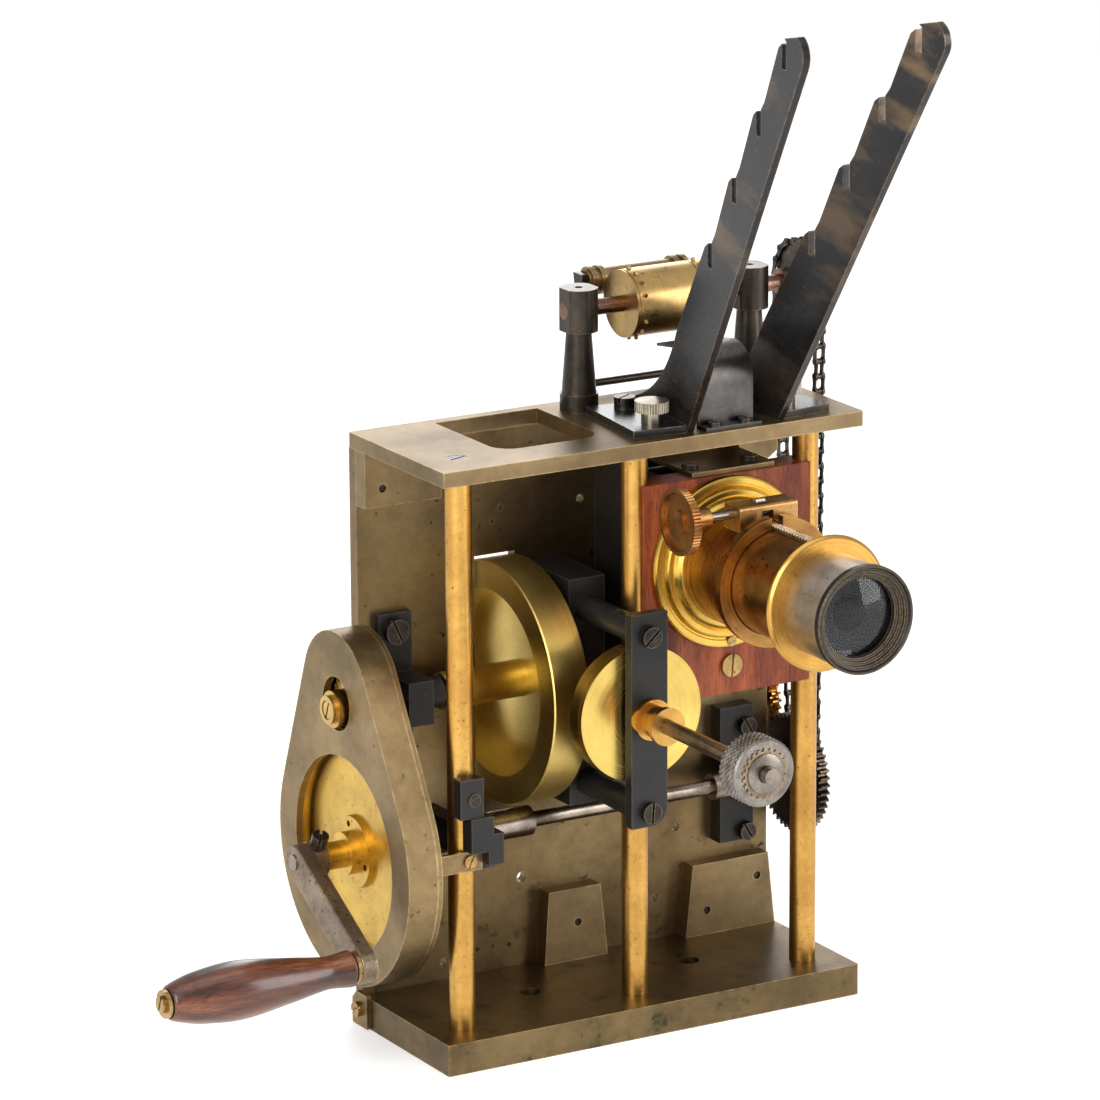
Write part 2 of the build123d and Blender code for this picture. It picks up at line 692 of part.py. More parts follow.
# ================================================================ cross shaft bearings
bracket_back = post_y - post_radius
tab_screw_z = 103.0
bracket_arm_x = post_xs[0] + post_radius + free_gap
with BuildPart() as left_crank_bearing:
    block(south(post_xs[0] - 1.0, bracket_back, 103.5), 9.7, 15.0, 5.6)
    block(south(post_xs[0] + 2.8, bracket_back, 89.2), 9.4, 13.4, 6.6)
    block(north(bracket_arm_x + 3.2, bracket_back - 6.6, 83.0), 6.4, 12.0, 6.6)
    block(north(bracket_arm_x + 3.2, bracket_back, 80.0), 6.4, 12.0, crank_y + 6.5 - bracket_back)
    rod(east(bracket_arm_x, crank_y, crank_z), 6.5, 6.4)
    rod(east(bracket_arm_x, crank_y, crank_z), crank_shaft_radius + running_clearance, 6.4, mode=Mode.SUBTRACT)
    screw_hole(south(post_xs[0], bracket_back - 5.6, tab_screw_z), 1.6, 5.6)
save(left_crank_bearing, "left_crank_bearing")

right_bearing_x = left + 162.0
right_bearing_depth = 7.0
right_screw_x = right_bearing_x + 3.8
right_screw_zs = (94.6, 52.0)
with BuildPart() as right_crank_bearing:
    block(north(right_bearing_x, plate_front - right_bearing_depth, 75.5), 15.0, 54.5, right_bearing_depth)
    block(
        north(right_bearing_x - 3.0, crank_y - 5.5, crank_z), 9.0, 12.0,
        plate_front - right_bearing_depth - crank_y + 5.5,
    )
    rod(
        east(right_bearing_x - 10.0, crank_y, crank_z), crank_shaft_radius + running_clearance, 20.0,
        mode=Mode.SUBTRACT,
    )
    for screw_z in right_screw_zs:
        screw_hole(south(right_screw_x, plate_front - right_bearing_depth, screw_z), 1.8, 5.0)
save(right_crank_bearing, "right_crank_bearing")

# ================================================================ shutter drive
with BuildPart() as shutter_yoke:
    block(
        north(shutter_x, yoke_front, (bar_top + 3 + bar_bottom - 3) / 2), bar_width, bar_top - bar_bottom + 6, yoke_wall,
    )
    for arm_z in (bar_top, bar_bottom):
        block(north(shutter_x, yoke_front + yoke_wall, arm_z), bar_width, 6.0, plate_front - yoke_front - yoke_wall)
    rod(
        north(shutter_x, yoke_front, shutter_z), shutter_shaft_radius + running_clearance, yoke_wall, mode=Mode.SUBTRACT,
    )
save(shutter_yoke, "shutter_yoke")

bar_back = bar_front + bar_thickness
clamp_length = post_xs[1] + post_radius + 1.2 - shutter_x
clamp_depth = 2 * post_radius + 2.4
with BuildPart() as shutter_pillars:
    for pillar_z in (bar_screw_upper, bar_screw_lower):
        rod(north(shutter_x, bar_back, pillar_z), pillar_rod_radius, yoke_front - bar_back)
        rod(north(shutter_x, bar_back, pillar_z), 2.0 + seat_clearance, 4.0, mode=Mode.SUBTRACT)
    rod(upward(shutter_x - 1.0, bar_back + 17.0, bar_screw_upper), 1.1, pillar_rod_radius + 1, mode=Mode.SUBTRACT)
    block(upward(shutter_x + clamp_length / 2, post_y, bar_screw_lower - 3.5), clamp_length, clamp_depth, 9.0)
    rod(upward(post_xs[1], post_y, bar_screw_lower - 3.5), post_radius, 9.0, mode=Mode.SUBTRACT)
save(shutter_pillars, "shutter_pillars")

with BuildPart() as shutter_bar:
    block(north(shutter_x, bar_front, (bar_top + bar_bottom) / 2), bar_width, bar_top - bar_bottom, bar_thickness)
    fillet(
        shutter_bar.edges().filter_by(Axis.Y).sort_by(lambda e: e.center().X - e.center().Z)[-1:], 7.0,
    )
    rod(north(shutter_x, bar_front, shutter_z), 6.0, bar_thickness, mode=Mode.SUBTRACT)
    for screw_z in (bar_screw_upper, bar_screw_lower):
        screw_hole(south(shutter_x, bar_front, screw_z), 2.0, bar_thickness)
save(shutter_bar, "shutter_bar")

with BuildPart() as shutter_bush:
    tube(south(shutter_x, bar_back, shutter_z), 6.0, shutter_shaft_radius + running_clearance, bar_thickness)
    tube(south(shutter_x, bar_front, shutter_z), 7.8, shutter_shaft_radius + running_clearance, 3.0)
    tube(south(shutter_x, bar_front - 3.0, shutter_z), 6.2, shutter_shaft_radius + running_clearance, 8.0)
    tube(south(shutter_x, bar_front - 11.0, shutter_z), 7.2, shutter_shaft_radius + running_clearance, 2.4)
save(shutter_bush, "shutter_bush")

disc_front = bar_back + 1.5
large_bevel_y = fly_y - bevel_small_teeth * bevel_module / 2
with BuildPart() as shutter_shaft:
    rod(north(shutter_x, nut_front - 5.5, shutter_z), shutter_shaft_radius, large_bevel_y - nut_front + 5.5)
    bevel_blank(
        north(shutter_x, large_bevel_y, shutter_z), bevel_large_teeth, bevel_small_teeth, 180.0 / bevel_large_teeth,
    )
    rod(south(shutter_x, large_bevel_y, shutter_z), 6.0, 4.0)
save(shutter_shaft, "shutter_shaft")

with BuildPart() as shutter_disc:
    rod(north(shutter_x, disc_front, shutter_z), disc_radius, disc_thickness)
    with BuildSketch(north(shutter_x, disc_front + 1.6, shutter_z)):
        Circle(disc_radius + 1)
        Circle(disc_radius - 0.5, mode=Mode.SUBTRACT)
    extrude(amount=0.5, mode=Mode.SUBTRACT)
    rod(north(shutter_x, disc_front, shutter_z), shutter_shaft_radius, disc_thickness, mode=Mode.SUBTRACT)
save(shutter_disc, "shutter_disc")

knurl_count = 48
with BuildPart() as shutter_nut:
    rod(north(shutter_x, nut_front, shutter_z), nut_radius, nut_length)
    rod(north(shutter_x, nut_front, shutter_z), nut_radius - 1.9, 2.4, mode=Mode.SUBTRACT)
    rod(north(shutter_x, nut_front, shutter_z), shutter_shaft_radius, nut_length, mode=Mode.SUBTRACT)
    with BuildSketch(north(shutter_x, nut_front, shutter_z)):
        with PolarLocations(nut_radius, knurl_count):
            Rectangle(0.9, 0.9, rotation=45)
    extrude(amount=nut_length, mode=Mode.SUBTRACT)
    tube(south(shutter_x, nut_front + 2.4, shutter_z), 9.8, shutter_shaft_radius, 2.9)
save(shutter_nut, "shutter_nut")

# ================================================================ lens board and lens
board_right = board_left + board_length
board_back = board_front + board_thickness
board_screw_x = lens_x + 2.0
board_screw_z = 137.0
board_bore_radius = jacket_inner + jacket_wall + 0.8
thin_thickness = 1.6
with BuildPart() as lens_board:
    block(
        north((board_left + board_right) / 2, board_front, (board_bottom + board_top) / 2),
        board_length, board_top - board_bottom, board_thickness,
    )
    for post_x in post_xs[1:]:
        rod(
            upward(post_x, post_y, board_bottom), post_radius + seat_clearance, board_top - board_bottom,
            mode=Mode.SUBTRACT,
        )
    rod(north(lens_x, board_front, lens_z), board_bore_radius, board_thickness, mode=Mode.SUBTRACT)
    screw_hole(south(board_screw_x, board_front, board_screw_z), 2.6, 9.0)
save(lens_board, "lens_board")

thin_left = left + 112.8
thin_length = 36.0
thin_depth = 30.5
thin_screw_xs = (left + 116.8, left + 142.6)
thin_screw_y = front + 21.0
with BuildPart() as gate_top_plate:
    block(
        upward(thin_left + thin_length / 2, board_front + 2.7 + thin_depth / 2, board_top), thin_length, thin_depth,
        thin_thickness,
    )
    for screw_x in thin_screw_xs:
        screw_hole(upward(screw_x, thin_screw_y, board_top + thin_thickness), 1.3, thin_thickness)
save(gate_top_plate, "gate_top_plate")

flange_front = board_front - flange_thickness
flange_screw_z = lens_z - flange_radius + 2.3
with BuildPart() as lens_flange:
    tube(south(lens_x, board_front, lens_z), flange_radius, jacket_inner + jacket_wall, flange_thickness)
    tube(south(lens_x, flange_front, lens_z), collar_radius + 3.6, jacket_inner + jacket_wall, 1.6)
    tube(south(lens_x, flange_front - 1.6, lens_z), collar_radius + 0.7, jacket_inner + jacket_wall, 2.6)
    screw_hole(south(lens_x + 0.5, flange_front, flange_screw_z), 1.1, flange_thickness)
save(lens_flange, "lens_flange")

rack_slot = rack_width + 1.2
pinion_radius = rack_module * rack_pinion_teeth / 2
rack_pitch_height = tube_radius + rack_height - 0.9 * rack_module
focus_z = lens_z + rack_pitch_height + pinion_radius
jacket_rear = board_front + 1.0
with BuildPart() as lens_jacket:
    tube(south(lens_x, jacket_rear, lens_z), jacket_inner + jacket_wall, jacket_inner, jacket_rear - jacket_front)
    tube(south(lens_x, jacket_front + 3.4, lens_z), collar_radius, jacket_inner, 3.4)
    block(
        south(lens_x, jacket_rear, lens_z + jacket_inner + 2.0), rack_slot, 6.0, jacket_rear - jacket_front,
        mode=Mode.SUBTRACT,
    )
save(lens_jacket, "lens_jacket")

tube_rear = board_front - 4.0
tube_front = nose_collar_front
with BuildPart() as draw_tube:
    tube(south(lens_x, tube_rear, lens_z), tube_radius, tube_radius - tube_wall, tube_rear - tube_front)
    tube(south(lens_x, tube_front + 2.6, lens_z), nose_collar_radius, tube_radius - tube_wall, 2.6)
save(draw_tube, "draw_tube")

rack_front = nose_collar_front + 2.8
rack_rear = tube_rear - 1.0
rack_pitch = pi * rack_module
rack_teeth = int((rack_rear - rack_front) / rack_pitch) - 1
rack_plane = Plane(origin=(lens_x - rack_width / 2, focus_y, lens_z), x_dir=(0, 1, 0), z_dir=(1, 0, 0))
rack_floor = (tube_radius ** 2 - (rack_width / 2) ** 2) ** 0.5
first_gap = -int((focus_y - rack_front) / rack_pitch)
with BuildPart() as focus_rack:
    with BuildSketch(rack_plane):
        with BuildLine():
            low = tube_radius + rack_height - 2.05 * rack_module
            high = tube_radius + rack_height
            half_tooth = (0.25 - gear_backlash / 4) * rack_pitch
            top_half = half_tooth - 0.9 * rack_module * tan(radians(20))
            foot_half = half_tooth + 1.15 * rack_module * tan(radians(20))
            points = [(rack_front - focus_y, tube_radius), (rack_front - focus_y, low)]
            for tooth in range(first_gap + 1, first_gap + rack_teeth):
                centre = (tooth + 0.5) * rack_pitch
                points += [(centre - foot_half, low), (centre - top_half, high)]
                points += [(centre + top_half, high), (centre + foot_half, low)]
            points += [(rack_rear - focus_y, low), (rack_rear - focus_y, tube_radius)]
            Polyline(*points, close=True)
        make_face()
    extrude(amount=rack_width)
save(focus_rack, "focus_rack")

with BuildPart() as lens_nose:
    tube(south(lens_x, nose_collar_front, lens_z), nose_radius, nose_radius - 1.4, nose_collar_front - nose_front - 3.0)
save(lens_nose, "lens_nose")

with BuildPart() as lens_ring:
    tube(south(lens_x, nose_front + 3.0, lens_z), nose_radius + 1.0, nose_radius - 1.3, 3.0)
    tube(south(lens_x, nose_front + 3.0, lens_z), nose_radius - 1.3, nose_radius - 3.1, 1.8)
    tube(south(lens_x, nose_front + 6.0, lens_z), nose_radius - 1.5, glass_radius, 3.0)
save(lens_ring, "lens_ring")

glass_thickness = 4.0
with BuildPart() as lens_glasses:
    rod(north(lens_x, nose_front + 6.0, lens_z), nose_radius - 1.4, glass_thickness)
    rod(north(lens_x, tube_rear - 14.0, lens_z), tube_radius - tube_wall, glass_thickness)
save(lens_glasses, "lens_glasses")

saddle_right = lens_x + 13.0
saddle_left = lens_x - 12.0
saddle_bottom = lens_z + jacket_inner - 4.5
with BuildPart() as pinion_saddle:
    block(
        upward((saddle_left + saddle_right) / 2, focus_y, saddle_bottom), saddle_right - saddle_left, 11.0,
        focus_z + 3.4 - saddle_bottom,
    )
    fillet(pinion_saddle.edges().filter_by(Axis.X).group_by(Axis.Z)[-1], 1.4)
    rod(north(lens_x, focus_y - 8, lens_z), jacket_inner + jacket_wall, 16, mode=Mode.SUBTRACT)
    rod(east(saddle_left, focus_y, focus_z), 1.8 + running_clearance, saddle_right - saddle_left, mode=Mode.SUBTRACT)
    block(
        upward(lens_x, focus_y, saddle_bottom), rack_width + 1.4, 12.0, focus_z - saddle_bottom + 1.0,
        mode=Mode.SUBTRACT,
    )
    rod(
        east(lens_x - rack_width / 2 - 0.7, focus_y, focus_z), pinion_radius + 1.1, rack_width + 1.4, mode=Mode.SUBTRACT,
    )
save(pinion_saddle, "pinion_saddle")

knob_left = left + 90.4
with BuildPart() as focus_pinion:
    rod(east(knob_left + 1.0, focus_y, focus_z), 1.8, saddle_right + 1.6 - knob_left - 1.0)
    gear_blank(
        east(lens_x - rack_width / 2 - 0.2, focus_y, focus_z), rack_pinion_teeth, rack_module, rack_width + 0.4, -90.0,
    )
save(focus_pinion, "focus_pinion")

knob_radius = 12.6
knob_thickness = 3.2
with BuildPart() as focus_knob:
    rod(east(knob_left, focus_y, focus_z), knob_radius, knob_thickness)
    with BuildSketch(east(knob_left, focus_y, focus_z)):
        Circle(knob_radius - 1.5)
        Circle(4.6, mode=Mode.SUBTRACT)
    extrude(amount=1.3, mode=Mode.SUBTRACT)
    rod(east(knob_left + knob_thickness, focus_y, focus_z), 3.9, 10.0)
    rod(east(knob_left + 1.0, focus_y, focus_z), 1.8, knob_thickness + 10.0, mode=Mode.SUBTRACT)
    with BuildSketch(east(knob_left, focus_y, focus_z)):
        with PolarLocations(knob_radius + 0.1, 60):
            Rectangle(0.7, 0.7, rotation=45)
    extrude(amount=knob_thickness, mode=Mode.SUBTRACT)
save(focus_knob, "focus_knob")

# ================================================================ feed drum and its pillars
with BuildPart() as drum_pillars:
    for pillar_x in pillar_xs:
        rod(upward(pillar_x, drum_y, frame_height), pillar_head_radius, pillar_foot_height)
        neck = drum_z - 8.0 - frame_height - pillar_foot_height
        with Locations(upward(pillar_x, drum_y, frame_height + pillar_foot_height)):
            Cone(6.6, 4.8, neck, align=(Align.CENTER, Align.CENTER, Align.MIN))
        rod(upward(pillar_x, drum_y, drum_z - 8.0), pillar_head_radius, 16.5)
        for side in (-1, 1):
            block(
                east(pillar_x + side * (pillar_head_radius - 0.9) - (0 if side > 0 else 3.0), drum_y, drum_z),
                16.0, 17.5, 3.0, mode=Mode.SUBTRACT,
            )
        rod(upward(pillar_x, drum_y, drum_z), 1.6, 10.0, mode=Mode.SUBTRACT)
        rod(
            east(pillar_x - 8, drum_y, drum_z), drum_shaft_radius + running_clearance, 16, mode=Mode.SUBTRACT,
        )
save(drum_pillars, "drum_pillars")

drum_left = film_centre - drum_length / 2
with BuildPart() as feed_drum:
    tube(east(drum_left, drum_y, drum_z), drum_radius, drum_shaft_radius, drum_length)
    for side in (-1, 1):
        row_x = film_centre + side * drum_pin_pitch / 2
        with BuildSketch(east(row_x - 0.65, drum_y, drum_z)):
            with PolarLocations(drum_radius + 0.35, drum_pins):
                RegularPolygon(1.0, 3)
        extrude(amount=1.3)
    for side in (-1, 1):
        row_x = film_centre + side * drum_pin_pitch / 2
        with BuildSketch(east(row_x - 2.6, drum_y, drum_z)):
            Circle(drum_radius + 0.1)
            Circle(drum_radius - 0.35, mode=Mode.SUBTRACT)
        extrude(amount=0.5, mode=Mode.SUBTRACT)
    rod(south(film_centre + 3.5, drum_y - drum_radius - 1, drum_z - 4), 1.3, -4.0, mode=Mode.SUBTRACT)
save(feed_drum, "feed_drum")

with BuildPart() as drum_shaft:
    rod(east(pillar_xs[0] - 6.5, drum_y, drum_z), drum_shaft_radius, sprocket_x + 3.0 - pillar_xs[0] + 6.5)
    tube(east(right - 1.5, drum_y, drum_z), 5.2, drum_shaft_radius, 6.0)
save(drum_shaft, "drum_shaft")

with BuildPart() as upper_sprocket:
    sprocket(east(sprocket_x, drum_y, drum_z), upper_sprocket_teeth, 11.25, drum_shaft_radius)
save(upper_sprocket, "upper_sprocket")

# ================================================================ pressure roller
roller_y = drum_y + drum_radius + 7.6
roller_z = drum_z + 5.0
hinge_y = drum_y + 17.5
hinge_z = frame_height + 4.2
roller_radius = 5.6
arm_xs = (left + 102.0, left + 150.0)
with BuildPart() as roller_hinge:
    for lug_x in (left + 96.6, left + 153.0):
        block(upward(lug_x + 1.6, hinge_y - 4.5, frame_height), 3.2, 7.0, 2.6)
        block(upward(lug_x + 1.6, hinge_y, frame_height + 1.4), 3.2, 6.0, 6.0)
        rod(east(lug_x, hinge_y, hinge_z), 1.5 + running_clearance, 3.2, mode=Mode.SUBTRACT)
save(roller_hinge, "roller_hinge")

with BuildPart() as roller_arm:
    rod(east(left + 96.4, hinge_y, hinge_z), 1.5, 60.0)
    for arm_x in arm_xs:
        with BuildSketch(east(arm_x, 0, 0)):
            with BuildLine():
                Polyline(
                    (hinge_y - 2.6, hinge_z - 1.6), (hinge_y + 2.6, hinge_z - 1.6),
                    (hinge_y + 3.4, roller_z - 12), (roller_y + 3.4, roller_z + 3.4),
                    (roller_y - 3.2, roller_z + 3.4), (roller_y - 3.2, roller_z - 3.0), (hinge_y - 1.8, roller_z - 14),
                    close=True,
                )
            make_face()
        extrude(amount=2.6)
    rod(east(arm_xs[0], roller_y, roller_z), 1.6, arm_xs[1] + 2.6 - arm_xs[0])
save(roller_arm, "roller_arm")

with BuildPart() as pressure_roller:
    roller_left = arm_xs[0] + 2.6 + free_gap
    roller_right = arm_xs[1] - free_gap
    tube(east(roller_left, roller_y, roller_z), roller_radius - 1.2, 1.6 + running_clearance, roller_right - roller_left)
    for flange_x in (roller_left + 1.0, roller_left + 5.0, roller_right - 7.0, roller_right - 3.0):
        tube(east(flange_x, roller_y, roller_z), roller_radius, 1.6 + running_clearance, 2.0)
save(pressure_roller, "pressure_roller")

# ================================================================ film guide
guide_front = front + 9.5
guide_width = 24.0
guide_thickness = 1.0
guide_foot = 1.2
guide_screw_xs = (left + 118.4, left + 131.4)
with BuildPart() as film_guide:
    with BuildSketch(east(left + 124.9 - guide_width / 2, 0, frame_height)):
        with BuildLine():
            path = Line((guide_front, 0), (guide_front, 16.0))
            bend = TangentArc(path @ 1, (guide_front + 14.0, 28.0), tangent=path % 1)
            Line(bend @ 1, (bend @ 1) + (15.0, -2.0))
        trace(line_width=guide_thickness)
    extrude(amount=guide_width)
    block(upward(left + 124.9, guide_front - 3.0, frame_height), guide_width, 7.0, guide_foot)
    for screw_x in guide_screw_xs:
        screw_hole(upward(screw_x, guide_front - 3.6, frame_height + guide_foot), 1.2, guide_foot)
save(film_guide, "film_guide")

# ================================================================ spool arms
arm_lean = 31.5
slot_pitch = 35.0
notch_width = 3.6
notch_depth = 13.0
arm_height = 152.0
arm_base_width = 22.5
arm_tip_width = 15.5


def arm_axes(hand):
    """Forward and sideways directions of a spool arm that toes outwards."""
    toe = radians(arm_toe)
    return Vector(hand * sin(toe), -cos(toe), 0), Vector(hand * cos(toe), sin(toe), 0)


def foot_spot(corner, setback):
    """Point on a spool arm's foot, at a distance behind its front edge."""
    corner_x, corner_y, hand = corner
    forward, sideways = arm_axes(hand)
    return Vector(corner_x, corner_y, frame_height) - forward * setback + sideways * (foot_width * 0.45)


thumb_setback = 11.0
foot_screw_setback = 35.0
arm_corner = {"left_spool_arm": (left + 107.0, front + 5.0, -1), "right_spool_arm": (left + 146.0, front + 4.0, 1)}
notch_bottoms = ((79.4, 150.0), (59.4, 122.4), (39.4, 94.4), (19.6, 66.4))
for name, corner in arm_corner.items():
    forward, sideways = arm_axes(corner[2])
    origin = Vector(corner[0], corner[1], frame_height)
    side_plane = Plane(origin=origin, x_dir=forward, z_dir=forward.cross(Vector(0, 0, 1)))
    with BuildPart() as spool_arm:
        with BuildSketch(side_plane):
            with BuildLine():
                slope = tan(radians(arm_lean))
                front_top = (arm_height * slope, arm_height)
                tip = (front_top[0] - 4.0, front_top[1] + 11.0)
                rear_top = (front_top[0] - 13.5, front_top[1] + 9.0)
                Line((0, 0), front_top)
                ThreePointArc(front_top, (front_top[0] + 0.6, front_top[1] + 6.5), tip)
                Line(tip, rear_top)
                points = [rear_top]
                for bottom_x, bottom_z in notch_bottoms:
                    mouth = bottom_z + notch_depth
                    points += [
                        (bottom_x + notch_width / 2, mouth - 3.0), (bottom_x + notch_width / 2, bottom_z),
                        (bottom_x - notch_width / 2, bottom_z), (bottom_x - notch_width / 2, mouth - 4.2),
                        (bottom_x - notch_width / 2 - 2.6, mouth - 6.0), (bottom_x - 15.5, bottom_z - 14.5),
                    ]
                points = points[:-1] + [(-9.0, 36.0)]
                Polyline(*points)
                ThreePointArc((-9.0, 36.0), (-22.5, 17.0), (-web_length, foot_thickness))
                Polyline((-web_length, foot_thickness), (-web_length, 0), (0, 0))
            make_face()
        extrude(amount=arm_thickness / 2, both=True)
        foot_centre = origin - forward * (foot_length / 2) + sideways * (foot_width / 2)
        with BuildSketch(Plane(origin=foot_centre, x_dir=sideways, z_dir=(0, 0, 1))):
            Rectangle(foot_width, foot_length)
        extrude(amount=foot_thickness)
        for along, radius in ((thumb_setback, 2.0), (foot_screw_setback, 1.6)):
            spot = foot_spot(corner, along)
            rod(upward(spot.X, spot.Y, frame_height), radius + seat_clearance, foot_thickness, mode=Mode.SUBTRACT)
    save(spool_arm, name)

with BuildPart() as thumb_screws:
    for corner in arm_corner.values():
        spot = foot_spot(corner, thumb_setback)
        plane = upward(spot.X, spot.Y, frame_height + foot_thickness)
        rod(plane, 4.0, 4.0)
        rod(plane, 2.0, -foot_thickness)
        with BuildSketch(plane.offset(4.0)):
            Circle(6.5)
            with PolarLocations(6.6, 40):
                Rectangle(0.6, 0.6, rotation=45, mode=Mode.SUBTRACT)
        extrude(amount=4.0)
save(thumb_screws, "thumb_screws")

# ================================================================ gate and beater behind the lens
gate_y = board_front + 24.0
with BuildPart() as film_gate:
    block(north(lens_x, gate_y, 168.0), film_width + 9.0, 84.0, 2.4)
    block(north(lens_x, gate_y, lens_z), 23.0, 17.5, 2.4, mode=Mode.SUBTRACT)
    for side in (-1, 1):
        block(north(lens_x + side * (film_width / 2 + 4.5), board_back, 168.0), 4.0, 84.0, plate_front - board_back)
save(film_gate, "film_gate")

beater_left = left + 108.0
with BuildPart() as beater_shaft:
    rod(east(beater_left, beater_y, beater_z), 3.0, gear_x + gear_width + 1.0 - beater_left)
    gear_blank(
        east(gear_x, beater_y, beater_z), beater_teeth, cross_module, gear_width, cross_tilt + 180 + 180 / beater_teeth,
    )
save(beater_shaft, "beater_shaft")

with BuildPart() as beater_bearings:
    for lug_x in (beater_left + 0.6, left + 168.0):
        block(south(lug_x + 2.5, beater_y + 6.0, beater_z), 5.0, 14.0, beater_y + 6.0 - rear)
        rod(east(lug_x, beater_y, beater_z), 3.0 + running_clearance, 5.0, mode=Mode.SUBTRACT)
save(beater_bearings, "beater_bearings")

# ================================================================ screws
# Large cheese-head screws: bearing strap, right bearing, shutter bar and spool arm feet.
with BuildPart() as cheese_head_screws:
    for screw_z in bearing_screw_zs:
        screw(south(strap_screw_x, plate_front - strap_plate, screw_z), 4.8, 3.6, 2.0, strap_plate - 0.1, turn=-65)
    for screw_z in right_screw_zs:
        screw(south(right_screw_x, plate_front - right_bearing_depth, screw_z), 3.6, 3.0, 1.8, 4.8, turn=-60)
    for screw_z, turn in ((bar_screw_upper, 42), (bar_screw_lower, 85)):
        screw(south(shutter_x, bar_front, screw_z), 4.0, 2.6, 2.0, 8.0, turn=turn)
    for corner in arm_corner.values():
        spot = foot_spot(corner, foot_screw_setback)
        screw(upward(spot.X, spot.Y, frame_height + foot_thickness), 4.0, 4.2, 1.6, foot_thickness, turn=30)
save(cheese_head_screws, "cheese_head_screws")

# Small dark screws: angle blocks, film guide, gate cover plate and left crank bearing.
with BuildPart() as small_screws:
    for screw_x, screw_z in angle_screw_spots:
        rod(south(left + screw_x, plate_front - 1.2, screw_z), 1.5, angle_depth - 2.2)
    for screw_x in guide_screw_xs:
        screw(upward(screw_x, guide_front - 3.6, frame_height + guide_foot), 2.5, 1.3, 1.2, guide_foot - 0.1, turn=10)
    for screw_x in thin_screw_xs:
        screw(upward(screw_x, thin_screw_y, board_top + thin_thickness), 3.2, 1.6, 1.3, thin_thickness - 0.1, turn=15)
    screw(south(post_xs[0], bracket_back - 5.6, tab_screw_z), 2.6, 0.5, 1.6, 5.5, turn=25)
save(small_screws, "small_screws")

# Round-head brass screws: lens board, lens flange and the two straps.
with BuildPart() as brass_screws:
    screw(south(board_screw_x, board_front, board_screw_z), 4.4, 1.4, 2.6, 8.6, turn=85)
    screw(south(lens_x + 0.5, flange_front, flange_screw_z), 1.9, 0.5, 1.1, flange_thickness - 0.1, turn=20)
    screw(south(post_xs[0], strap_front, strap_z), 2.5, 1.0, 1.5, strap_thickness - 0.1, turn=65)
    screw(west(left - 1.8, tie_y + 0.5, tie_z), 2.9, 1.8, 1.5, 1.7, turn=30)
save(brass_screws, "brass_screws")
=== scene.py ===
"""Hand-cranked 35 mm film projector mechanism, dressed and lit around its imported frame."""
from math import atan2, cos, hypot, pi, radians, sin

import bmesh
import bpy
from mathutils import Matrix, Vector


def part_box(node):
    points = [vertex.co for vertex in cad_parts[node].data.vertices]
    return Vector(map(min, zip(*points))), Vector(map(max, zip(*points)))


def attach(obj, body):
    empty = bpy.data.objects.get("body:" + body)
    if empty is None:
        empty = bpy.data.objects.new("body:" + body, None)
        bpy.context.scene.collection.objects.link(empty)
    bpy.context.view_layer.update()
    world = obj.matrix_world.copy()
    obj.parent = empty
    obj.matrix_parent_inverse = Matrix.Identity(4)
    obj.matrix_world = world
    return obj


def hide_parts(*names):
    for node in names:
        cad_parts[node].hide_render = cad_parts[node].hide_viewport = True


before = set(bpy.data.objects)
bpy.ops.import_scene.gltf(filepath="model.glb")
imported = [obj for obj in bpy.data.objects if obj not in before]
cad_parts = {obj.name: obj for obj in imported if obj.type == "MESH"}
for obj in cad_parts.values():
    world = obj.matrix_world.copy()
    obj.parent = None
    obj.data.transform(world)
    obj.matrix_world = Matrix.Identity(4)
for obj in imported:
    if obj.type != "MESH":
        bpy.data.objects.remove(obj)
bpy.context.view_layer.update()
mm = 0.001


# ---------------------------------------------------------------- plates
# The frame is three thick cast bronze plates: base, back and top.
# They were filed flat and left bare, so they have gone olive brown, with green in the damp corners.
def centre(node):
    """Middle of a CAD piece at rest."""
    low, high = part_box(node)
    return (Vector(low) + Vector(high)) / 2


def node(tree, kind, **values):
    """Adds a shader node and sets its plain values by socket name or attribute."""
    made = tree.nodes.new(kind)
    for key, value in values.items():
        if hasattr(made, key):
            setattr(made, key, value)
        else:
            made.inputs[key.replace("_", " ")].default_value = value
    return made


def ramp(tree, source, stops):
    """Colour ramp over a grey value: stops are (place, colour)."""
    made = tree.nodes.new("ShaderNodeValToRGB")
    tree.links.new(source, made.inputs["Fac"])
    points = made.color_ramp.elements
    while len(points) < len(stops):
        points.new(0.5)
    for point, (place, colour) in zip(points, stops):
        point.position = place
        point.color = colour if len(colour) == 4 else (*colour, 1)
    return made.outputs["Color"]


def grey(value):
    return (value, value, value, 1)


def blend_colour(tree, amount, first, second, mode="MIX"):
    """Mixes two colours, each a socket or a plain colour, by a socket or a plain amount."""
    made = tree.nodes.new("ShaderNodeMix")
    made.data_type = "RGBA"
    made.blend_type = mode
    for index, value in ((0, amount), (6, first), (7, second)):
        if isinstance(value, bpy.types.NodeSocket):
            tree.links.new(value, made.inputs[index])
        elif index == 0:
            made.inputs[0].default_value = value
        else:
            made.inputs[index].default_value = (*value[:3], 1)
    return made.outputs[2]


def noise(tree, place, size, detail=4.0, rough=0.55, stretch=(1, 1, 1), shift=(0, 0, 0)):
    """Noise whose patches are about size metres across, drawn out by stretch."""
    mapping = tree.nodes.new("ShaderNodeMapping")
    mapping.inputs["Location"].default_value = shift
    mapping.inputs["Scale"].default_value = stretch
    tree.links.new(place, mapping.inputs["Vector"])
    made = node(tree, "ShaderNodeTexNoise", Scale=1 / size, Detail=detail, Roughness=rough)
    tree.links.new(mapping.outputs["Vector"], made.inputs["Vector"])
    return made.outputs["Fac"]


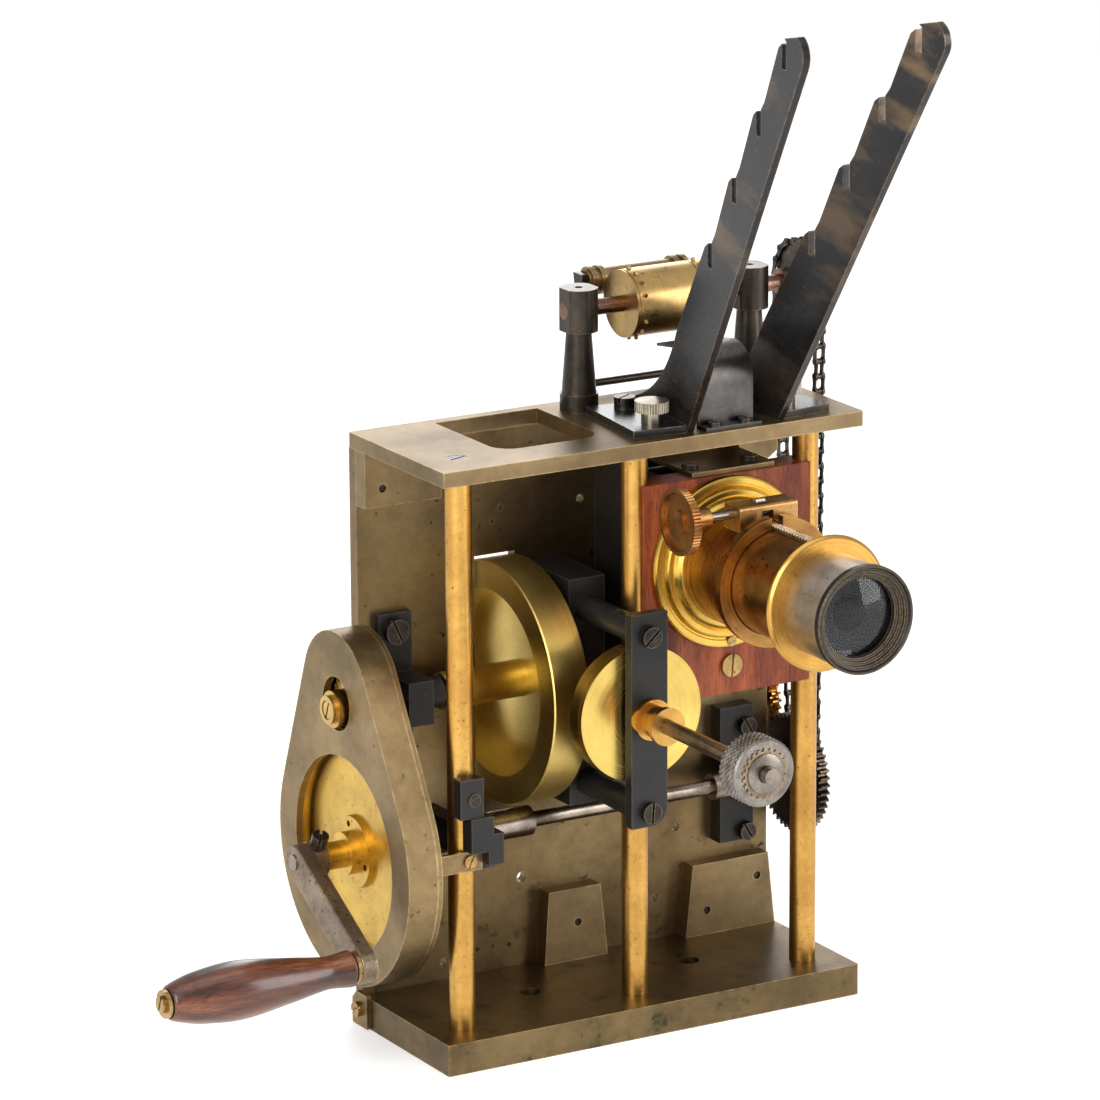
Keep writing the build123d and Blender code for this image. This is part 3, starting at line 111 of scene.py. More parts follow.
def blank_metal(name):
    """New material with a bare principled shader and its object coordinates."""
    material = bpy.data.materials.new(name)
    material.use_nodes = True
    tree = material.node_tree
    shader = tree.nodes["Principled BSDF"]
    place = tree.nodes.new("ShaderNodeTexCoord").outputs["Object"]
    return material, tree, shader, place


def worn_metal(name, bright, dull, rough=(0.25, 0.45), patch=0.03, contrast=0.16, grain=None, spots=None,
               spot_size=0.002, spot_amount=0.62, bump=0.12, edge=None, metallic=1.0, shift=(0, 0, 0)):
    """Old bare metal: two tones in patches, fine mottling, tarnish spots, file grain and rubbed edges."""
    material, tree, shader, place = blank_metal(name)
    clouds = noise(tree, place, patch, 6, 0.62, shift=shift)
    colour = ramp(tree, clouds, ((0.5 - contrast, bright), (0.5 + contrast, dull)))
    mottle = noise(tree, place, patch / 9, 5, 0.7, shift=shift)
    shade = ramp(tree, mottle, ((0.3, grey(0.72)), (0.62, grey(1.0))))
    colour = blend_colour(tree, 0.65, colour, shade, "MULTIPLY")
    if spots is not None:
        speck = noise(tree, place, spot_size, 3, 0.6, shift=shift)
        where = ramp(tree, speck, ((spot_amount, grey(0)), (spot_amount + 0.08, grey(1))))
        colour = blend_colour(tree, where, colour, spots)
    lines = noise(tree, place, 0.0009, 3, 0.6, stretch=grain or (1, 1, 1), shift=shift)
    line_shade = ramp(tree, lines, ((0.25, grey(0.8)), (0.7, grey(1.0))))
    colour = blend_colour(tree, 0.5, colour, line_shade, "MULTIPLY")
    if edge is not None:
        soft = node(tree, "ShaderNodeBevel", Radius=0.0009, samples=4)
        flat = tree.nodes.new("ShaderNodeNewGeometry")
        turn = node(tree, "ShaderNodeVectorMath", operation="DOT_PRODUCT")
        tree.links.new(soft.outputs["Normal"], turn.inputs[0])
        tree.links.new(flat.outputs["Normal"], turn.inputs[1])
        rubbed = ramp(tree, turn.outputs["Value"], ((0.80, grey(1)), (0.985, grey(0))))
        broken = ramp(tree, mottle, ((0.35, grey(0.15)), (0.6, grey(1))))
        rubbed = blend_colour(tree, 1.0, rubbed, broken, "MULTIPLY")
        colour = blend_colour(tree, rubbed, colour, edge)
    tree.links.new(colour, shader.inputs["Base Color"])
    shader.inputs["Metallic"].default_value = metallic
    gloss = node(tree, "ShaderNodeMapRange", To_Min=rough[0], To_Max=rough[1])
    both = node(tree, "ShaderNodeMath", operation="ADD")
    half = node(tree, "ShaderNodeMath", operation="MULTIPLY_ADD")
    half.inputs[1].default_value = 0.5
    half.inputs[2].default_value = 0.0
    tree.links.new(clouds, both.inputs[0])
    tree.links.new(lines, both.inputs[1])
    tree.links.new(both.outputs[0], half.inputs[0])
    tree.links.new(half.outputs[0], gloss.inputs["Value"])
    tree.links.new(gloss.outputs["Result"], shader.inputs["Roughness"])
    relief = node(tree, "ShaderNodeBump", Strength=bump, Distance=0.0002)
    tree.links.new(lines, relief.inputs["Height"])
    pits = node(tree, "ShaderNodeBump", Strength=bump * 0.6, Distance=0.0004)
    tree.links.new(mottle, pits.inputs["Height"])
    tree.links.new(relief.outputs["Normal"], pits.inputs["Normal"])
    tree.links.new(pits.outputs["Normal"], shader.inputs["Normal"])
    return material


def dress(material, *names, edge=0.0):
    """Gives CAD pieces their finish, with rounded edges where edge, in mm, is set."""
    for name in names:
        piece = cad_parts[name]
        for place in piece.material_slots:
            place.material = material
        if edge:
            rounding = piece.modifiers.new("edge", "BEVEL")
            rounding.width = edge * mm
            rounding.segments = 2
            rounding.limit_method = "ANGLE"
            rounding.angle_limit = radians(40)
            rounding.harden_normals = True


def reflect(material, level):
    """Sets how strongly a surface that isn't metal mirrors the room."""
    material.node_tree.nodes["Principled BSDF"].inputs["Specular IOR Level"].default_value = level


bronze = worn_metal(
    "bronze_plate", (0.235, 0.165, 0.080), (0.120, 0.082, 0.042), rough=(0.30, 0.52), patch=0.045,
    grain=(0.12, 1, 1), spots=(0.030, 0.020, 0.012), spot_size=0.004, spot_amount=0.66, bump=0.10,
    edge=(0.42, 0.30, 0.14),
)
top_bronze = worn_metal(
    "top_plate_bronze", (0.270, 0.190, 0.098), (0.150, 0.104, 0.054), rough=(0.36, 0.54), patch=0.05,
    grain=(0.10, 1, 1), spots=(0.060, 0.040, 0.022), spot_size=0.003, spot_amount=0.70, bump=0.10,
    edge=(0.50, 0.37, 0.19),
)


def add_verdigris(material, height, amount):
    """Green bloom in the damp low corner, fading out above a height."""
    tree = material.node_tree
    shader = tree.nodes["Principled BSDF"]
    place = tree.nodes.new("ShaderNodeTexCoord").outputs["Object"]
    old = shader.inputs["Base Color"].links[0].from_socket
    parts = tree.nodes.new("ShaderNodeSeparateXYZ")
    tree.links.new(place, parts.inputs[0])
    low = node(tree, "ShaderNodeMapRange", From_Min=height, From_Max=0.0, To_Min=0.0, To_Max=1.0)
    tree.links.new(parts.outputs["Z"], low.inputs["Value"])
    bloom = ramp(tree, noise(tree, place, 0.011, 7, 0.72), ((amount, grey(0)), (amount + 0.10, grey(0.9))))
    where = blend_colour(tree, 1.0, bloom, low.outputs["Result"], "MULTIPLY")
    speckle = noise(tree, place, 0.003, 5, 0.6)
    tone = ramp(tree, speckle, ((0.35, (0.022, 0.026, 0.014)), (0.7, (0.075, 0.085, 0.040))))
    tree.links.new(blend_colour(tree, where, old, tone), shader.inputs["Base Color"])


damp_height = 0.10
add_verdigris(bronze, damp_height, 0.555)
dress(bronze, "base_plate", "back_plate", edge=0.35)
dress(top_bronze, "top_plate", "angle_blocks", edge=0.3)


# ---------------------------------------------------------------- posts
# Three turned brass columns between base and top, under orange lacquer that has spotted black.
post_brass = worn_metal(
    "lacquered_brass", (0.66, 0.38, 0.095), (0.47, 0.245, 0.060), rough=(0.24, 0.36), patch=0.022,
    grain=(1, 1, 0.3), spots=(0.15, 0.065, 0.018), spot_size=0.0014, spot_amount=0.635, bump=0.05,
)
dress(post_brass, "posts")


# ---------------------------------------------------------------- gear case
# Pear-shaped brass casting over the crank gears, with a round window and a small oil port.
# Its face is filed one way and its rim is browner; two brass straps tie it to the frame.
case_brass = worn_metal(
    "case_brass", (0.330, 0.230, 0.110), (0.175, 0.120, 0.058), rough=(0.32, 0.50), patch=0.04,
    grain=(1, 0.12, 1), spots=(0.075, 0.050, 0.025), spot_size=0.0035, spot_amount=0.66, bump=0.12,
    edge=(0.55, 0.40, 0.19),
)
dress(case_brass, "case_shell", "case_lid", edge=0.4)
dress(case_brass, "brass_straps", "pressure_roller", edge=0.15)


# ---------------------------------------------------------------- crank gears
# The main wheel shows through the case's window: dished yellow brass with fine turning lines,
# a bolted hub flange in front and a trace of green in its lines.
def turned_metal(name, bright, dull, axis, through, rough=(0.18, 0.34), lines=0.0006, sheen=0.6, patch=0.02,
                 spots=None, spot_amount=0.66):
    """Metal faced on a lathe: rings round an axis that goes through a point."""
    material, tree, shader, place = blank_metal(name)
    across = Vector((1, 1, 1)) - Vector(axis)
    shifted = node(tree, "ShaderNodeVectorMath", operation="SUBTRACT")
    shifted.inputs[1].default_value = through
    tree.links.new(place, shifted.inputs[0])
    flat = node(tree, "ShaderNodeVectorMath", operation="MULTIPLY")
    flat.inputs[1].default_value = across
    tree.links.new(shifted.outputs[0], flat.inputs[0])
    reach = node(tree, "ShaderNodeVectorMath", operation="LENGTH")
    tree.links.new(flat.outputs[0], reach.inputs[0])
    along = node(tree, "ShaderNodeVectorMath", operation="DOT_PRODUCT")
    along.inputs[1].default_value = axis
    tree.links.new(shifted.outputs[0], along.inputs[0])
    ring_place = tree.nodes.new("ShaderNodeCombineXYZ")
    tree.links.new(reach.outputs["Value"], ring_place.inputs["X"])
    tree.links.new(along.outputs["Value"], ring_place.inputs["Y"])
    rings = noise(tree, ring_place.outputs[0], lines, 4, 0.7)
    clouds = noise(tree, place, patch, 6, 0.65)
    colour = ramp(tree, clouds, ((0.36, bright), (0.66, dull)))
    ring_shade = ramp(tree, rings, ((0.3, grey(0.66)), (0.65, grey(1))))
    colour = blend_colour(tree, 0.55, colour, ring_shade, "MULTIPLY")
    if spots is not None:
        speck = noise(tree, place, 0.0025, 4, 0.65)
        where = ramp(tree, speck, ((spot_amount, grey(0)), (spot_amount + 0.06, grey(1))))
        colour = blend_colour(tree, where, colour, spots)
    tree.links.new(colour, shader.inputs["Base Color"])
    shader.inputs["Metallic"].default_value = 1.0
    shader.inputs["Anisotropic"].default_value = sheen
    round_way = node(tree, "ShaderNodeVectorMath", operation="CROSS_PRODUCT")
    round_way.inputs[0].default_value = axis
    tree.links.new(shifted.outputs[0], round_way.inputs[1])
    unit = node(tree, "ShaderNodeVectorMath", operation="NORMALIZE")
    tree.links.new(round_way.outputs[0], unit.inputs[0])
    tree.links.new(unit.outputs[0], shader.inputs["Tangent"])
    gloss = node(tree, "ShaderNodeMapRange", To_Min=rough[0], To_Max=rough[1])
    tree.links.new(rings, gloss.inputs["Value"])
    tree.links.new(gloss.outputs["Result"], shader.inputs["Roughness"])
    relief = node(tree, "ShaderNodeBump", Strength=0.10, Distance=0.0001)
    tree.links.new(rings, relief.inputs["Height"])
    tree.links.new(relief.outputs["Normal"], shader.inputs["Normal"])
    return material


along_x = (1, 0, 0)
along_y = (0, 1, 0)
wheel_brass = turned_metal(
    "wheel_brass", (0.72, 0.47, 0.10), (0.50, 0.31, 0.07), along_x, centre("crank_shaft"), rough=(0.22, 0.40),
    spots=(0.10, 0.12, 0.04), spot_amount=0.64,
)
dress(wheel_brass, "main_wheel")
pinion_brass = turned_metal(
    "pinion_brass", (0.62, 0.42, 0.14), (0.42, 0.27, 0.09), along_x, centre("flywheel_shaft"),
)
dress(pinion_brass, "drive_pinion")

# ---------------------------------------------------------------- shafts and crank arm
# Ground steel shafts, browned by old oil, and a flat steel crank arm polished by the hand.
shaft_steel = worn_metal(
    "shaft_steel", (0.42, 0.36, 0.30), (0.20, 0.155, 0.12), rough=(0.20, 0.38), patch=0.012,
    grain=(0.3, 1, 1), spots=(0.06, 0.03, 0.02), spot_size=0.0012, spot_amount=0.64, bump=0.05,
)
dress(shaft_steel, "crank_shaft", "flywheel_shaft", "shutter_shaft", "focus_pinion")
drum_steel = worn_metal(
    "drum_shaft_steel", (0.30, 0.17, 0.12), (0.12, 0.065, 0.045), rough=(0.22, 0.4), patch=0.012,
    grain=(0.3, 1, 1), spots=(0.03, 0.02, 0.015), spot_size=0.0012, spot_amount=0.62, bump=0.05,
)
dress(drum_steel, "drum_shaft")
arm_steel = worn_metal(
    "crank_arm_steel", (0.30, 0.225, 0.155), (0.135, 0.095, 0.065), rough=(0.28, 0.46), patch=0.012,
    grain=(1, 0.25, 1), spots=(0.035, 0.022, 0.014), spot_size=0.0016, spot_amount=0.60, bump=0.10,
    edge=(0.50, 0.38, 0.22),
)
dress(arm_steel, "crank_arm", edge=0.25)
handle_brass = worn_metal(
    "handle_brass", (0.50, 0.33, 0.13), (0.28, 0.17, 0.07), rough=(0.22, 0.40), patch=0.008,
    spots=(0.07, 0.04, 0.02), spot_size=0.0012, spot_amount=0.62, bump=0.06,
)
dress(handle_brass, "handle_spindle")


# ---------------------------------------------------------------- handle
# Hardwood grip turned between centres, stained dark and polished by use, with an open grain.
def made_piece(name, build, smooth_to=None):
    """Closes a mesh under construction into an object, smooth up to an angle in degrees if given."""
    bmesh.ops.recalc_face_normals(build, faces=build.faces)
    mesh = bpy.data.meshes.new(name)
    build.to_mesh(mesh)
    build.free()
    if smooth_to is not None:
        mesh.shade_smooth()
        mesh.set_sharp_from_angle(angle=radians(smooth_to))
    piece = bpy.data.objects.new(name, mesh)
    bpy.context.scene.collection.objects.link(piece)
    return piece


def turned_piece(name, start, axis, outline, sides=96, closed=True):
    """Lathe work: outline is a list of (distance along the axis, radius) in mm from start."""
    axis = Vector(axis).normalized()
    side = axis.orthogonal().normalized()
    up = axis.cross(side)
    build = bmesh.new()
    rings = []
    for along, radius in outline:
        base = Vector(start) + axis * along * mm
        ring = [
            build.verts.new(base + (side * cos(turn) + up * sin(turn)) * radius * mm)
            for turn in (2 * pi * k / sides for k in range(sides))
        ]
        rings.append(ring)
    pairs = list(zip(rings, rings[1:]))
    if closed:
        pairs.append((rings[-1], rings[0]))
    for first, second in pairs:
        for k in range(sides):
            after = (k + 1) % sides
            build.faces.new((first[k], first[after], second[after], second[k]))
    if not closed:
        build.faces.new(list(reversed(rings[0])))
        build.faces.new(rings[-1])
    return made_piece(name, build, smooth_to=32)


def finish_piece(piece, material, body):
    """Puts a made piece in its finish and on the body it moves with."""
    piece.data.materials.append(material)
    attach(piece, body)


def turned_wood(name):
    """Dark polished hardwood whose grain runs along X."""
    material, tree, shader, place = blank_metal(name)
    figure = noise(tree, place, 0.006, 6, 0.6, stretch=(0.10, 1, 1))
    pores = noise(tree, place, 0.0006, 3, 0.6, stretch=(0.06, 1, 1))
    colour = ramp(tree, figure, ((0.34, (0.030, 0.010, 0.006)), (0.52, (0.105, 0.030, 0.013)),
                                 (0.70, (0.22, 0.070, 0.028))))
    pore_shade = ramp(tree, pores, ((0.34, grey(0.35)), (0.50, grey(1))))
    colour = blend_colour(tree, 0.8, colour, pore_shade, "MULTIPLY")
    tree.links.new(colour, shader.inputs["Base Color"])
    shader.inputs["Roughness"].default_value = 0.30
    shader.inputs["Specular IOR Level"].default_value = 0.4
    shader.inputs["Coat Weight"].default_value = 0.35
    shader.inputs["Coat Roughness"].default_value = 0.14
    relief = node(tree, "ShaderNodeBump", Strength=0.15, Distance=0.0002)
    tree.links.new(pores, relief.inputs["Height"])
    tree.links.new(relief.outputs["Normal"], shader.inputs["Normal"])
    return material


handle_wood = turned_wood("handle_wood")
grip_low, grip_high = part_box("handle_grip")
grip_start = (grip_high[0], centre("handle_grip").y, centre("handle_grip").z)
grip_length = (grip_high[0] - grip_low[0]) / mm


grip_points = (
    (0, 7.0), (0.05, 6.6), (0.14, 6.1), (0.34, 8.3), (0.62, 10.9), (0.84, 9.6), (0.95, 7.6), (1, 6.2),
)


def grip_radius(share):
    """Radius of the grip in mm on a smooth curve, from the collar at 0 to the butt at 1."""
    last = len(grip_points) - 1
    span = next(k for k in range(last) if share <= grip_points[k + 1][0] or k == last - 1)
    (before, low), (a, first), (b, second), (after, high) = (
        grip_points[min(max(k, 0), last)] for k in range(span - 1, span + 3)
    )
    step = b - a
    t = (share - a) / step
    rise_in = (second - low) / (b - before) * step
    rise_out = (high - first) / (after - a) * step
    return (
        first * (2 * t ** 3 - 3 * t ** 2 + 1) + rise_in * (t ** 3 - 2 * t ** 2 + t)
        + second * (3 * t ** 2 - 2 * t ** 3) + rise_out * (t ** 3 - t ** 2)
    )


grip_bore = 2.6
grip_outline = [(grip_length * k / 60, grip_radius(k / 60)) for k in range(61)]
grip = turned_piece(
    "turned_grip", grip_start, (-1, 0, 0), [(0, grip_bore), *grip_outline, (grip_length, grip_bore)], 80,
)
grip.modifiers.new("round", "SUBSURF").render_levels = 1
finish_piece(grip, handle_wood, "handle")
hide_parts("handle_grip")


# ---------------------------------------------------------------- black bearings and shutter frame
# Bearings, straps and the shutter's frame are steel under thin black japan, worn to brown metal
# on the corners. The plate over the gate beside them is bare bronze.
black = worn_metal(
    "black_japan", (0.006, 0.0055, 0.0055), (0.014, 0.012, 0.011), rough=(0.36, 0.55), patch=0.015,
    metallic=0.0, spots=(0.060, 0.048, 0.036), spot_size=0.0022, spot_amount=0.69, bump=0.10,
    edge=(0.10, 0.072, 0.045),
)
reflect(black, 0.35)
dress(
    black, "flywheel_bearing", "left_crank_bearing", "right_crank_bearing", "shutter_yoke", "shutter_pillars",
    "shutter_bar", "film_gate", edge=0.25,
)
dress(bronze, "gate_top_plate", edge=0.25)

# ---------------------------------------------------------------- flywheel
# Solid brass flywheel, bright from the lathe: a deep rim, a thin web and a long hub on its shaft.
fly_brass = turned_metal(
    "flywheel_brass", (0.78, 0.57, 0.17), (0.56, 0.40, 0.115), along_x, centre("flywheel_shaft"),
    rough=(0.24, 0.40), lines=0.0007, sheen=0.7, patch=0.05, spots=(0.20, 0.14, 0.05), spot_amount=0.69,
)
dress(fly_brass, "flywheel", edge=0.3)

# ---------------------------------------------------------------- shutter shaft
# A brass drum with one parting groove, its shaft in a stepped brass bush, and at the front a
# knurled steel nut with a toothed ring and a plain washer that holds the shutter blades.
disc_brass = turned_metal(
    "shutter_disc_brass", (0.80, 0.57, 0.15), (0.60, 0.42, 0.11), along_y, centre("shutter_disc"),
    rough=(0.16, 0.34), lines=0.0005, sheen=0.75, patch=0.04, spots=(0.12, 0.07, 0.03), spot_amount=0.70,
)
dress(disc_brass, "shutter_disc", edge=0.2)
bush_brass = turned_metal(
    "bush_brass", (0.70, 0.40, 0.10), (0.46, 0.25, 0.07), along_y, centre("shutter_bush"), rough=(0.18, 0.32),
    sheen=0.3,
)
dress(bush_brass, "shutter_bush", "beater_shaft", "beater_bearings", edge=0.15)


def knurled_piece(name, start, axis, radius, length, depth, count, bore, rows):
    """Collar with diamond knurling: two crossing helical sets of grooves."""
    axis = Vector(axis).normalized()
    side = axis.orthogonal().normalized()
    up = axis.cross(side)
    sides = count * 6
    outline = [(0.0, bore, 0), (0.0, radius - depth * 2, 0), (depth * 1.2, radius - depth * 0.6, 0)]
    outline += [(depth * 1.2 + (length - depth * 2.4) * k / rows, radius, 1) for k in range(rows + 1)]
    outline += [(length - depth * 1.2, radius - depth * 0.6, 0), (length, radius - depth * 2, 0)]
    outline += [(length, bore, 0)]
    build = bmesh.new()
    rings = []
    for along, reach, cut in outline:
        ring = []
        for k in range(sides):
            turn = 2 * pi * k / sides
            twist = along / radius * 0.9
            if cut:
                first = abs(sin(count * (turn + twist) / 2))
                second = abs(sin(count * (turn - twist) / 2))
                here = reach - depth * (1 - min(first, second))
            else:
                here = reach
            spot = Vector(start) + axis * along * mm + (side * cos(turn) + up * sin(turn)) * here * mm
            ring.append(build.verts.new(spot))
        rings.append(ring)
    for first, second in list(zip(rings, rings[1:])) + [(rings[-1], rings[0])]:
        for k in range(sides):
            after = (k + 1) % sides
            build.faces.new((first[k], first[after], second[after], second[k]))
    return made_piece(name, build)


nut_steel = worn_metal(
    "knurled_steel", (0.31, 0.28, 0.25), (0.155, 0.13, 0.11), rough=(0.24, 0.42), patch=0.006,
    spots=(0.05, 0.03, 0.02), spot_size=0.001, spot_amount=0.64, bump=0.06,
)
nut_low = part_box("shutter_nut")[0]
nut_centre = centre("shutter_shaft")
nut_front = nut_low[1]
nut_bore = 3.0
nut_setback = 0.5
nut_front_point = (nut_centre.x, nut_front + nut_setback * mm, nut_centre.z)
knurl = knurled_piece(
    "knurled_nut", nut_front_point, along_y, radius=12.9, length=10.9, depth=0.5, count=40, bore=nut_bore,
    rows=28,
)
finish_piece(knurl, nut_steel, "shutter")
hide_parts("shutter_nut")


def toothed_ring(name, start, axis, outer, inner, length, teeth, tooth_depth):
    """Flat ring with square teeth cut round its rim."""
    axis = Vector(axis).normalized()
    side = axis.orthogonal().normalized()
    up = axis.cross(side)
    build = bmesh.new()
    sections = []
    for along in (0, length):
        rim, hole = [], []
        for tooth in range(teeth):
            root = outer - tooth_depth
            for share, reach in ((0.05, outer), (0.45, outer), (0.55, root), (0.95, root)):
                turn = 2 * pi * (tooth + share) / teeth
                way = side * cos(turn) + up * sin(turn)
                rim.append(build.verts.new(Vector(start) + axis * along * mm + way * reach * mm))
                hole.append(build.verts.new(Vector(start) + axis * along * mm + way * inner * mm))
        sections.append((rim, hole))
    (rim, hole), (far_rim, far_hole) = sections
    for k in range(len(rim)):
        after = (k + 1) % len(rim)
        build.faces.new((rim[k], rim[after], far_rim[after], far_rim[k]))
        build.faces.new((hole[k], far_hole[k], far_hole[after], hole[after]))
        build.faces.new((rim[k], hole[k], hole[after], rim[after]))
        build.faces.new((far_rim[k], far_rim[after], far_hole[after], far_hole[k]))
    return made_piece(name, build)


ring_start = (nut_centre.x, nut_front - 0.1 * mm, nut_centre.z)
ring = toothed_ring(
    "toothed_ring", ring_start, along_y, outer=9.4, inner=nut_bore, length=0.9, teeth=22, tooth_depth=0.9,
)
finish_piece(ring, arm_steel, "shutter")
washer_thickness = 0.9
washer_start = (nut_centre.x, nut_front - washer_thickness * mm, nut_centre.z)
washer_outline = [
    (washer_thickness, nut_bore), (0.25, nut_bore), (0, 3.3), (0, 6.8), (0.3, 7.4), (washer_thickness, 7.5),
]
washer = turned_piece("shutter_washer", washer_start, along_y, washer_outline, 64)
finish_piece(washer, nut_steel, "shutter")


# ---------------------------------------------------------------- lens board
# Mahogany board with its grain upright, French polished, screwed from the front.
def polished_board(name):
    """Red-brown mahogany with upright ribbon figure and fine dark pores."""
    material, tree, shader, place = blank_metal(name)
    ribbon = noise(tree, place, 0.009, 5, 0.6, stretch=(1, 1, 0.16))
    fleck = noise(tree, place, 0.0008, 3, 0.65, stretch=(1, 1, 0.12))
    colour = ramp(tree, ribbon, ((0.36, (0.115, 0.018, 0.005)), (0.52, (0.20, 0.040, 0.011)),
                                 (0.66, (0.31, 0.075, 0.022))))
    fleck_shade = ramp(tree, fleck, ((0.33, grey(0.30)), (0.48, grey(1))))
    colour = blend_colour(tree, 0.85, colour, fleck_shade, "MULTIPLY")
    tree.links.new(colour, shader.inputs["Base Color"])
    shader.inputs["Roughness"].default_value = 0.5
    shader.inputs["Specular IOR Level"].default_value = 0.25
    shader.inputs["Coat Weight"].default_value = 0.05
    shader.inputs["Coat Roughness"].default_value = 0.30
    relief = node(tree, "ShaderNodeBump", Strength=0.25, Distance=0.0002)
    tree.links.new(fleck, relief.inputs["Height"])
    tree.links.new(relief.outputs["Normal"], shader.inputs["Normal"])
    return material


dress(polished_board("mahogany"), "lens_board", edge=0.4)

# ---------------------------------------------------------------- lens
# Lacquered brass lens mount: a stepped flange on the board, a fixed jacket, and a draw tube whose
# brown inner brass shows between two beaded collars; a nickel nose and a blackened front ring.
lens_middle = centre("draw_tube")
flange_brass = turned_metal(
    "flange_brass", (0.76, 0.51, 0.105), (0.56, 0.35, 0.070), along_y, lens_middle, rough=(0.20, 0.34),
    lines=0.0008, sheen=0.35, patch=0.03, spots=(0.22, 0.11, 0.035), spot_amount=0.69,
)
lens_brass = turned_metal(
    "lens_brass", (0.68, 0.385, 0.095), (0.48, 0.255, 0.060), along_y, lens_middle, rough=(0.20, 0.34),
    lines=0.0008, sheen=0.35, patch=0.025, spots=(0.20, 0.10, 0.035), spot_amount=0.68,
)
jacket_brass = turned_metal(
    "jacket_brass", (0.50, 0.27, 0.080), (0.26, 0.125, 0.042), along_y, lens_middle, rough=(0.20, 0.36),
    lines=0.0008, sheen=0.3, patch=0.020, spots=(0.10, 0.05, 0.02), spot_amount=0.66,
)
tube_brass = turned_metal(
    "draw_tube_brass", (0.52, 0.275, 0.080), (0.25, 0.125, 0.045), along_y, lens_middle, rough=(0.22, 0.38),
    lines=0.0009, sheen=0.3, patch=0.016, spots=(0.075, 0.060, 0.020), spot_amount=0.60,
)
saddle_brass = worn_metal(
    "saddle_brass", (0.50, 0.29, 0.105), (0.28, 0.15, 0.055), rough=(0.28, 0.42), patch=0.010,
    grain=(1, 0.3, 1), spots=(0.10, 0.05, 0.02), spot_size=0.0015, spot_amount=0.63, bump=0.08,
    edge=(0.70, 0.45, 0.17),
)
dress(jacket_brass, "lens_jacket", edge=0.12)
dress(saddle_brass, "pinion_saddle", edge=0.15)
dress(arm_steel, "focus_rack")

flange_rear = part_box("lens_flange")[1][1]
flange_start = (lens_middle.x, flange_rear, lens_middle.z)
flange_outline = [
    (0.0, 22.3), (0.0, 33.0), (1.9, 33.0), (2.6, 32.7), (3.0, 32.1), (3.0, 30.2), (2.5, 29.8), (2.5, 29.2),
    (3.1, 28.8), (4.3, 28.4), (4.7, 27.9), (4.7, 26.2), (4.4, 25.8), (5.2, 25.2), (6.6, 24.4), (7.2, 23.6),
    (7.2, 22.3),
]
flange = turned_piece("lens_flange_turned", flange_start, (0, -1, 0), flange_outline, 160)
finish_piece(flange, flange_brass, "frame")
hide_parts("lens_flange")

tube_low, tube_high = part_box("draw_tube")
tube_start = (lens_middle.x, tube_high[1], lens_middle.z)
tube_length = (tube_high[1] - tube_low[1]) / mm
tube_bore = 18.8
tube_reach = 20.0
eased_reach = 19.8
collar_width = 2.6
tube_end = tube_length - collar_width
tube_outline = [
    (0, tube_bore), (0, eased_reach - 0.2), (0.3, eased_reach), (4.4, eased_reach), (4.7, tube_reach),
    (tube_end, tube_reach), (tube_end, tube_bore),
]
tube = turned_piece("draw_tube_turned", tube_start, (0, -1, 0), tube_outline, 128)
finish_piece(tube, tube_brass, "lens_tube")
collar_start = (lens_middle.x, tube_low[1] + collar_width * mm, lens_middle.z)
collar_outline = [
    (0, tube_bore), (0, 24.9), (0.5, 25.6), (1.2, 25.8), (1.9, 25.5), (collar_width, 24.6),
    (collar_width, tube_bore),
]
collar = turned_piece("nose_collar", collar_start, (0, -1, 0), collar_outline, 128)
finish_piece(collar, lens_brass, "lens_tube")
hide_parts("draw_tube")
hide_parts("draw_tube")

nickel = worn_metal(
    "nickel_nose", (0.60, 0.53, 0.45), (0.40, 0.335, 0.265), rough=(0.30, 0.44), patch=0.018,
    grain=(1, 0.2, 1), spots=(0.20, 0.15, 0.10), spot_size=0.0025, spot_amount=0.65, bump=0.06,
)
dress(nickel, "lens_nose")
ring_black = worn_metal(
    "lens_ring_black", (0.007, 0.007, 0.008), (0.016, 0.015, 0.015), rough=(0.24, 0.40), patch=0.008,
    metallic=0.1, spots=(0.10, 0.07, 0.04), spot_size=0.0016, spot_amount=0.70, bump=0.08,
    edge=(0.36, 0.25, 0.13),
)
reflect(ring_black, 0.2)
ring_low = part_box("lens_ring")[0]
ring_face = (lens_middle.x, ring_low[1], lens_middle.z)
front_ring = turned_piece(
    "lens_front_ring", ring_face, along_y,
    [(0.25, 19.3), (0, 19.65), (0, 20.1), (0.35, 20.45), (2.7, 20.5), (3.0, 20.2), (3.0, 18.2), (5.9, 17.9),
     (6.0, 14.8), (4.2, 15.1), (4.0, 16.1), (2.9, 16.4), (2.7, 17.4), (1.5, 17.7), (1.3, 18.8)], 160,
)
finish_piece(front_ring, ring_black, "lens_tube")
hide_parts("lens_ring")


def lens_glass():
    """Clear glass, smoky with age, that gives only faint reflections."""
    material, _, shader, _ = blank_metal("lens_glass")
    shader.inputs["Base Color"].default_value = (0.80, 0.83, 0.86, 1)
    shader.inputs["Roughness"].default_value = 0.02
    shader.inputs["IOR"].default_value = 1.3
    shader.inputs["Transmission Weight"].default_value = 1.0
    return material


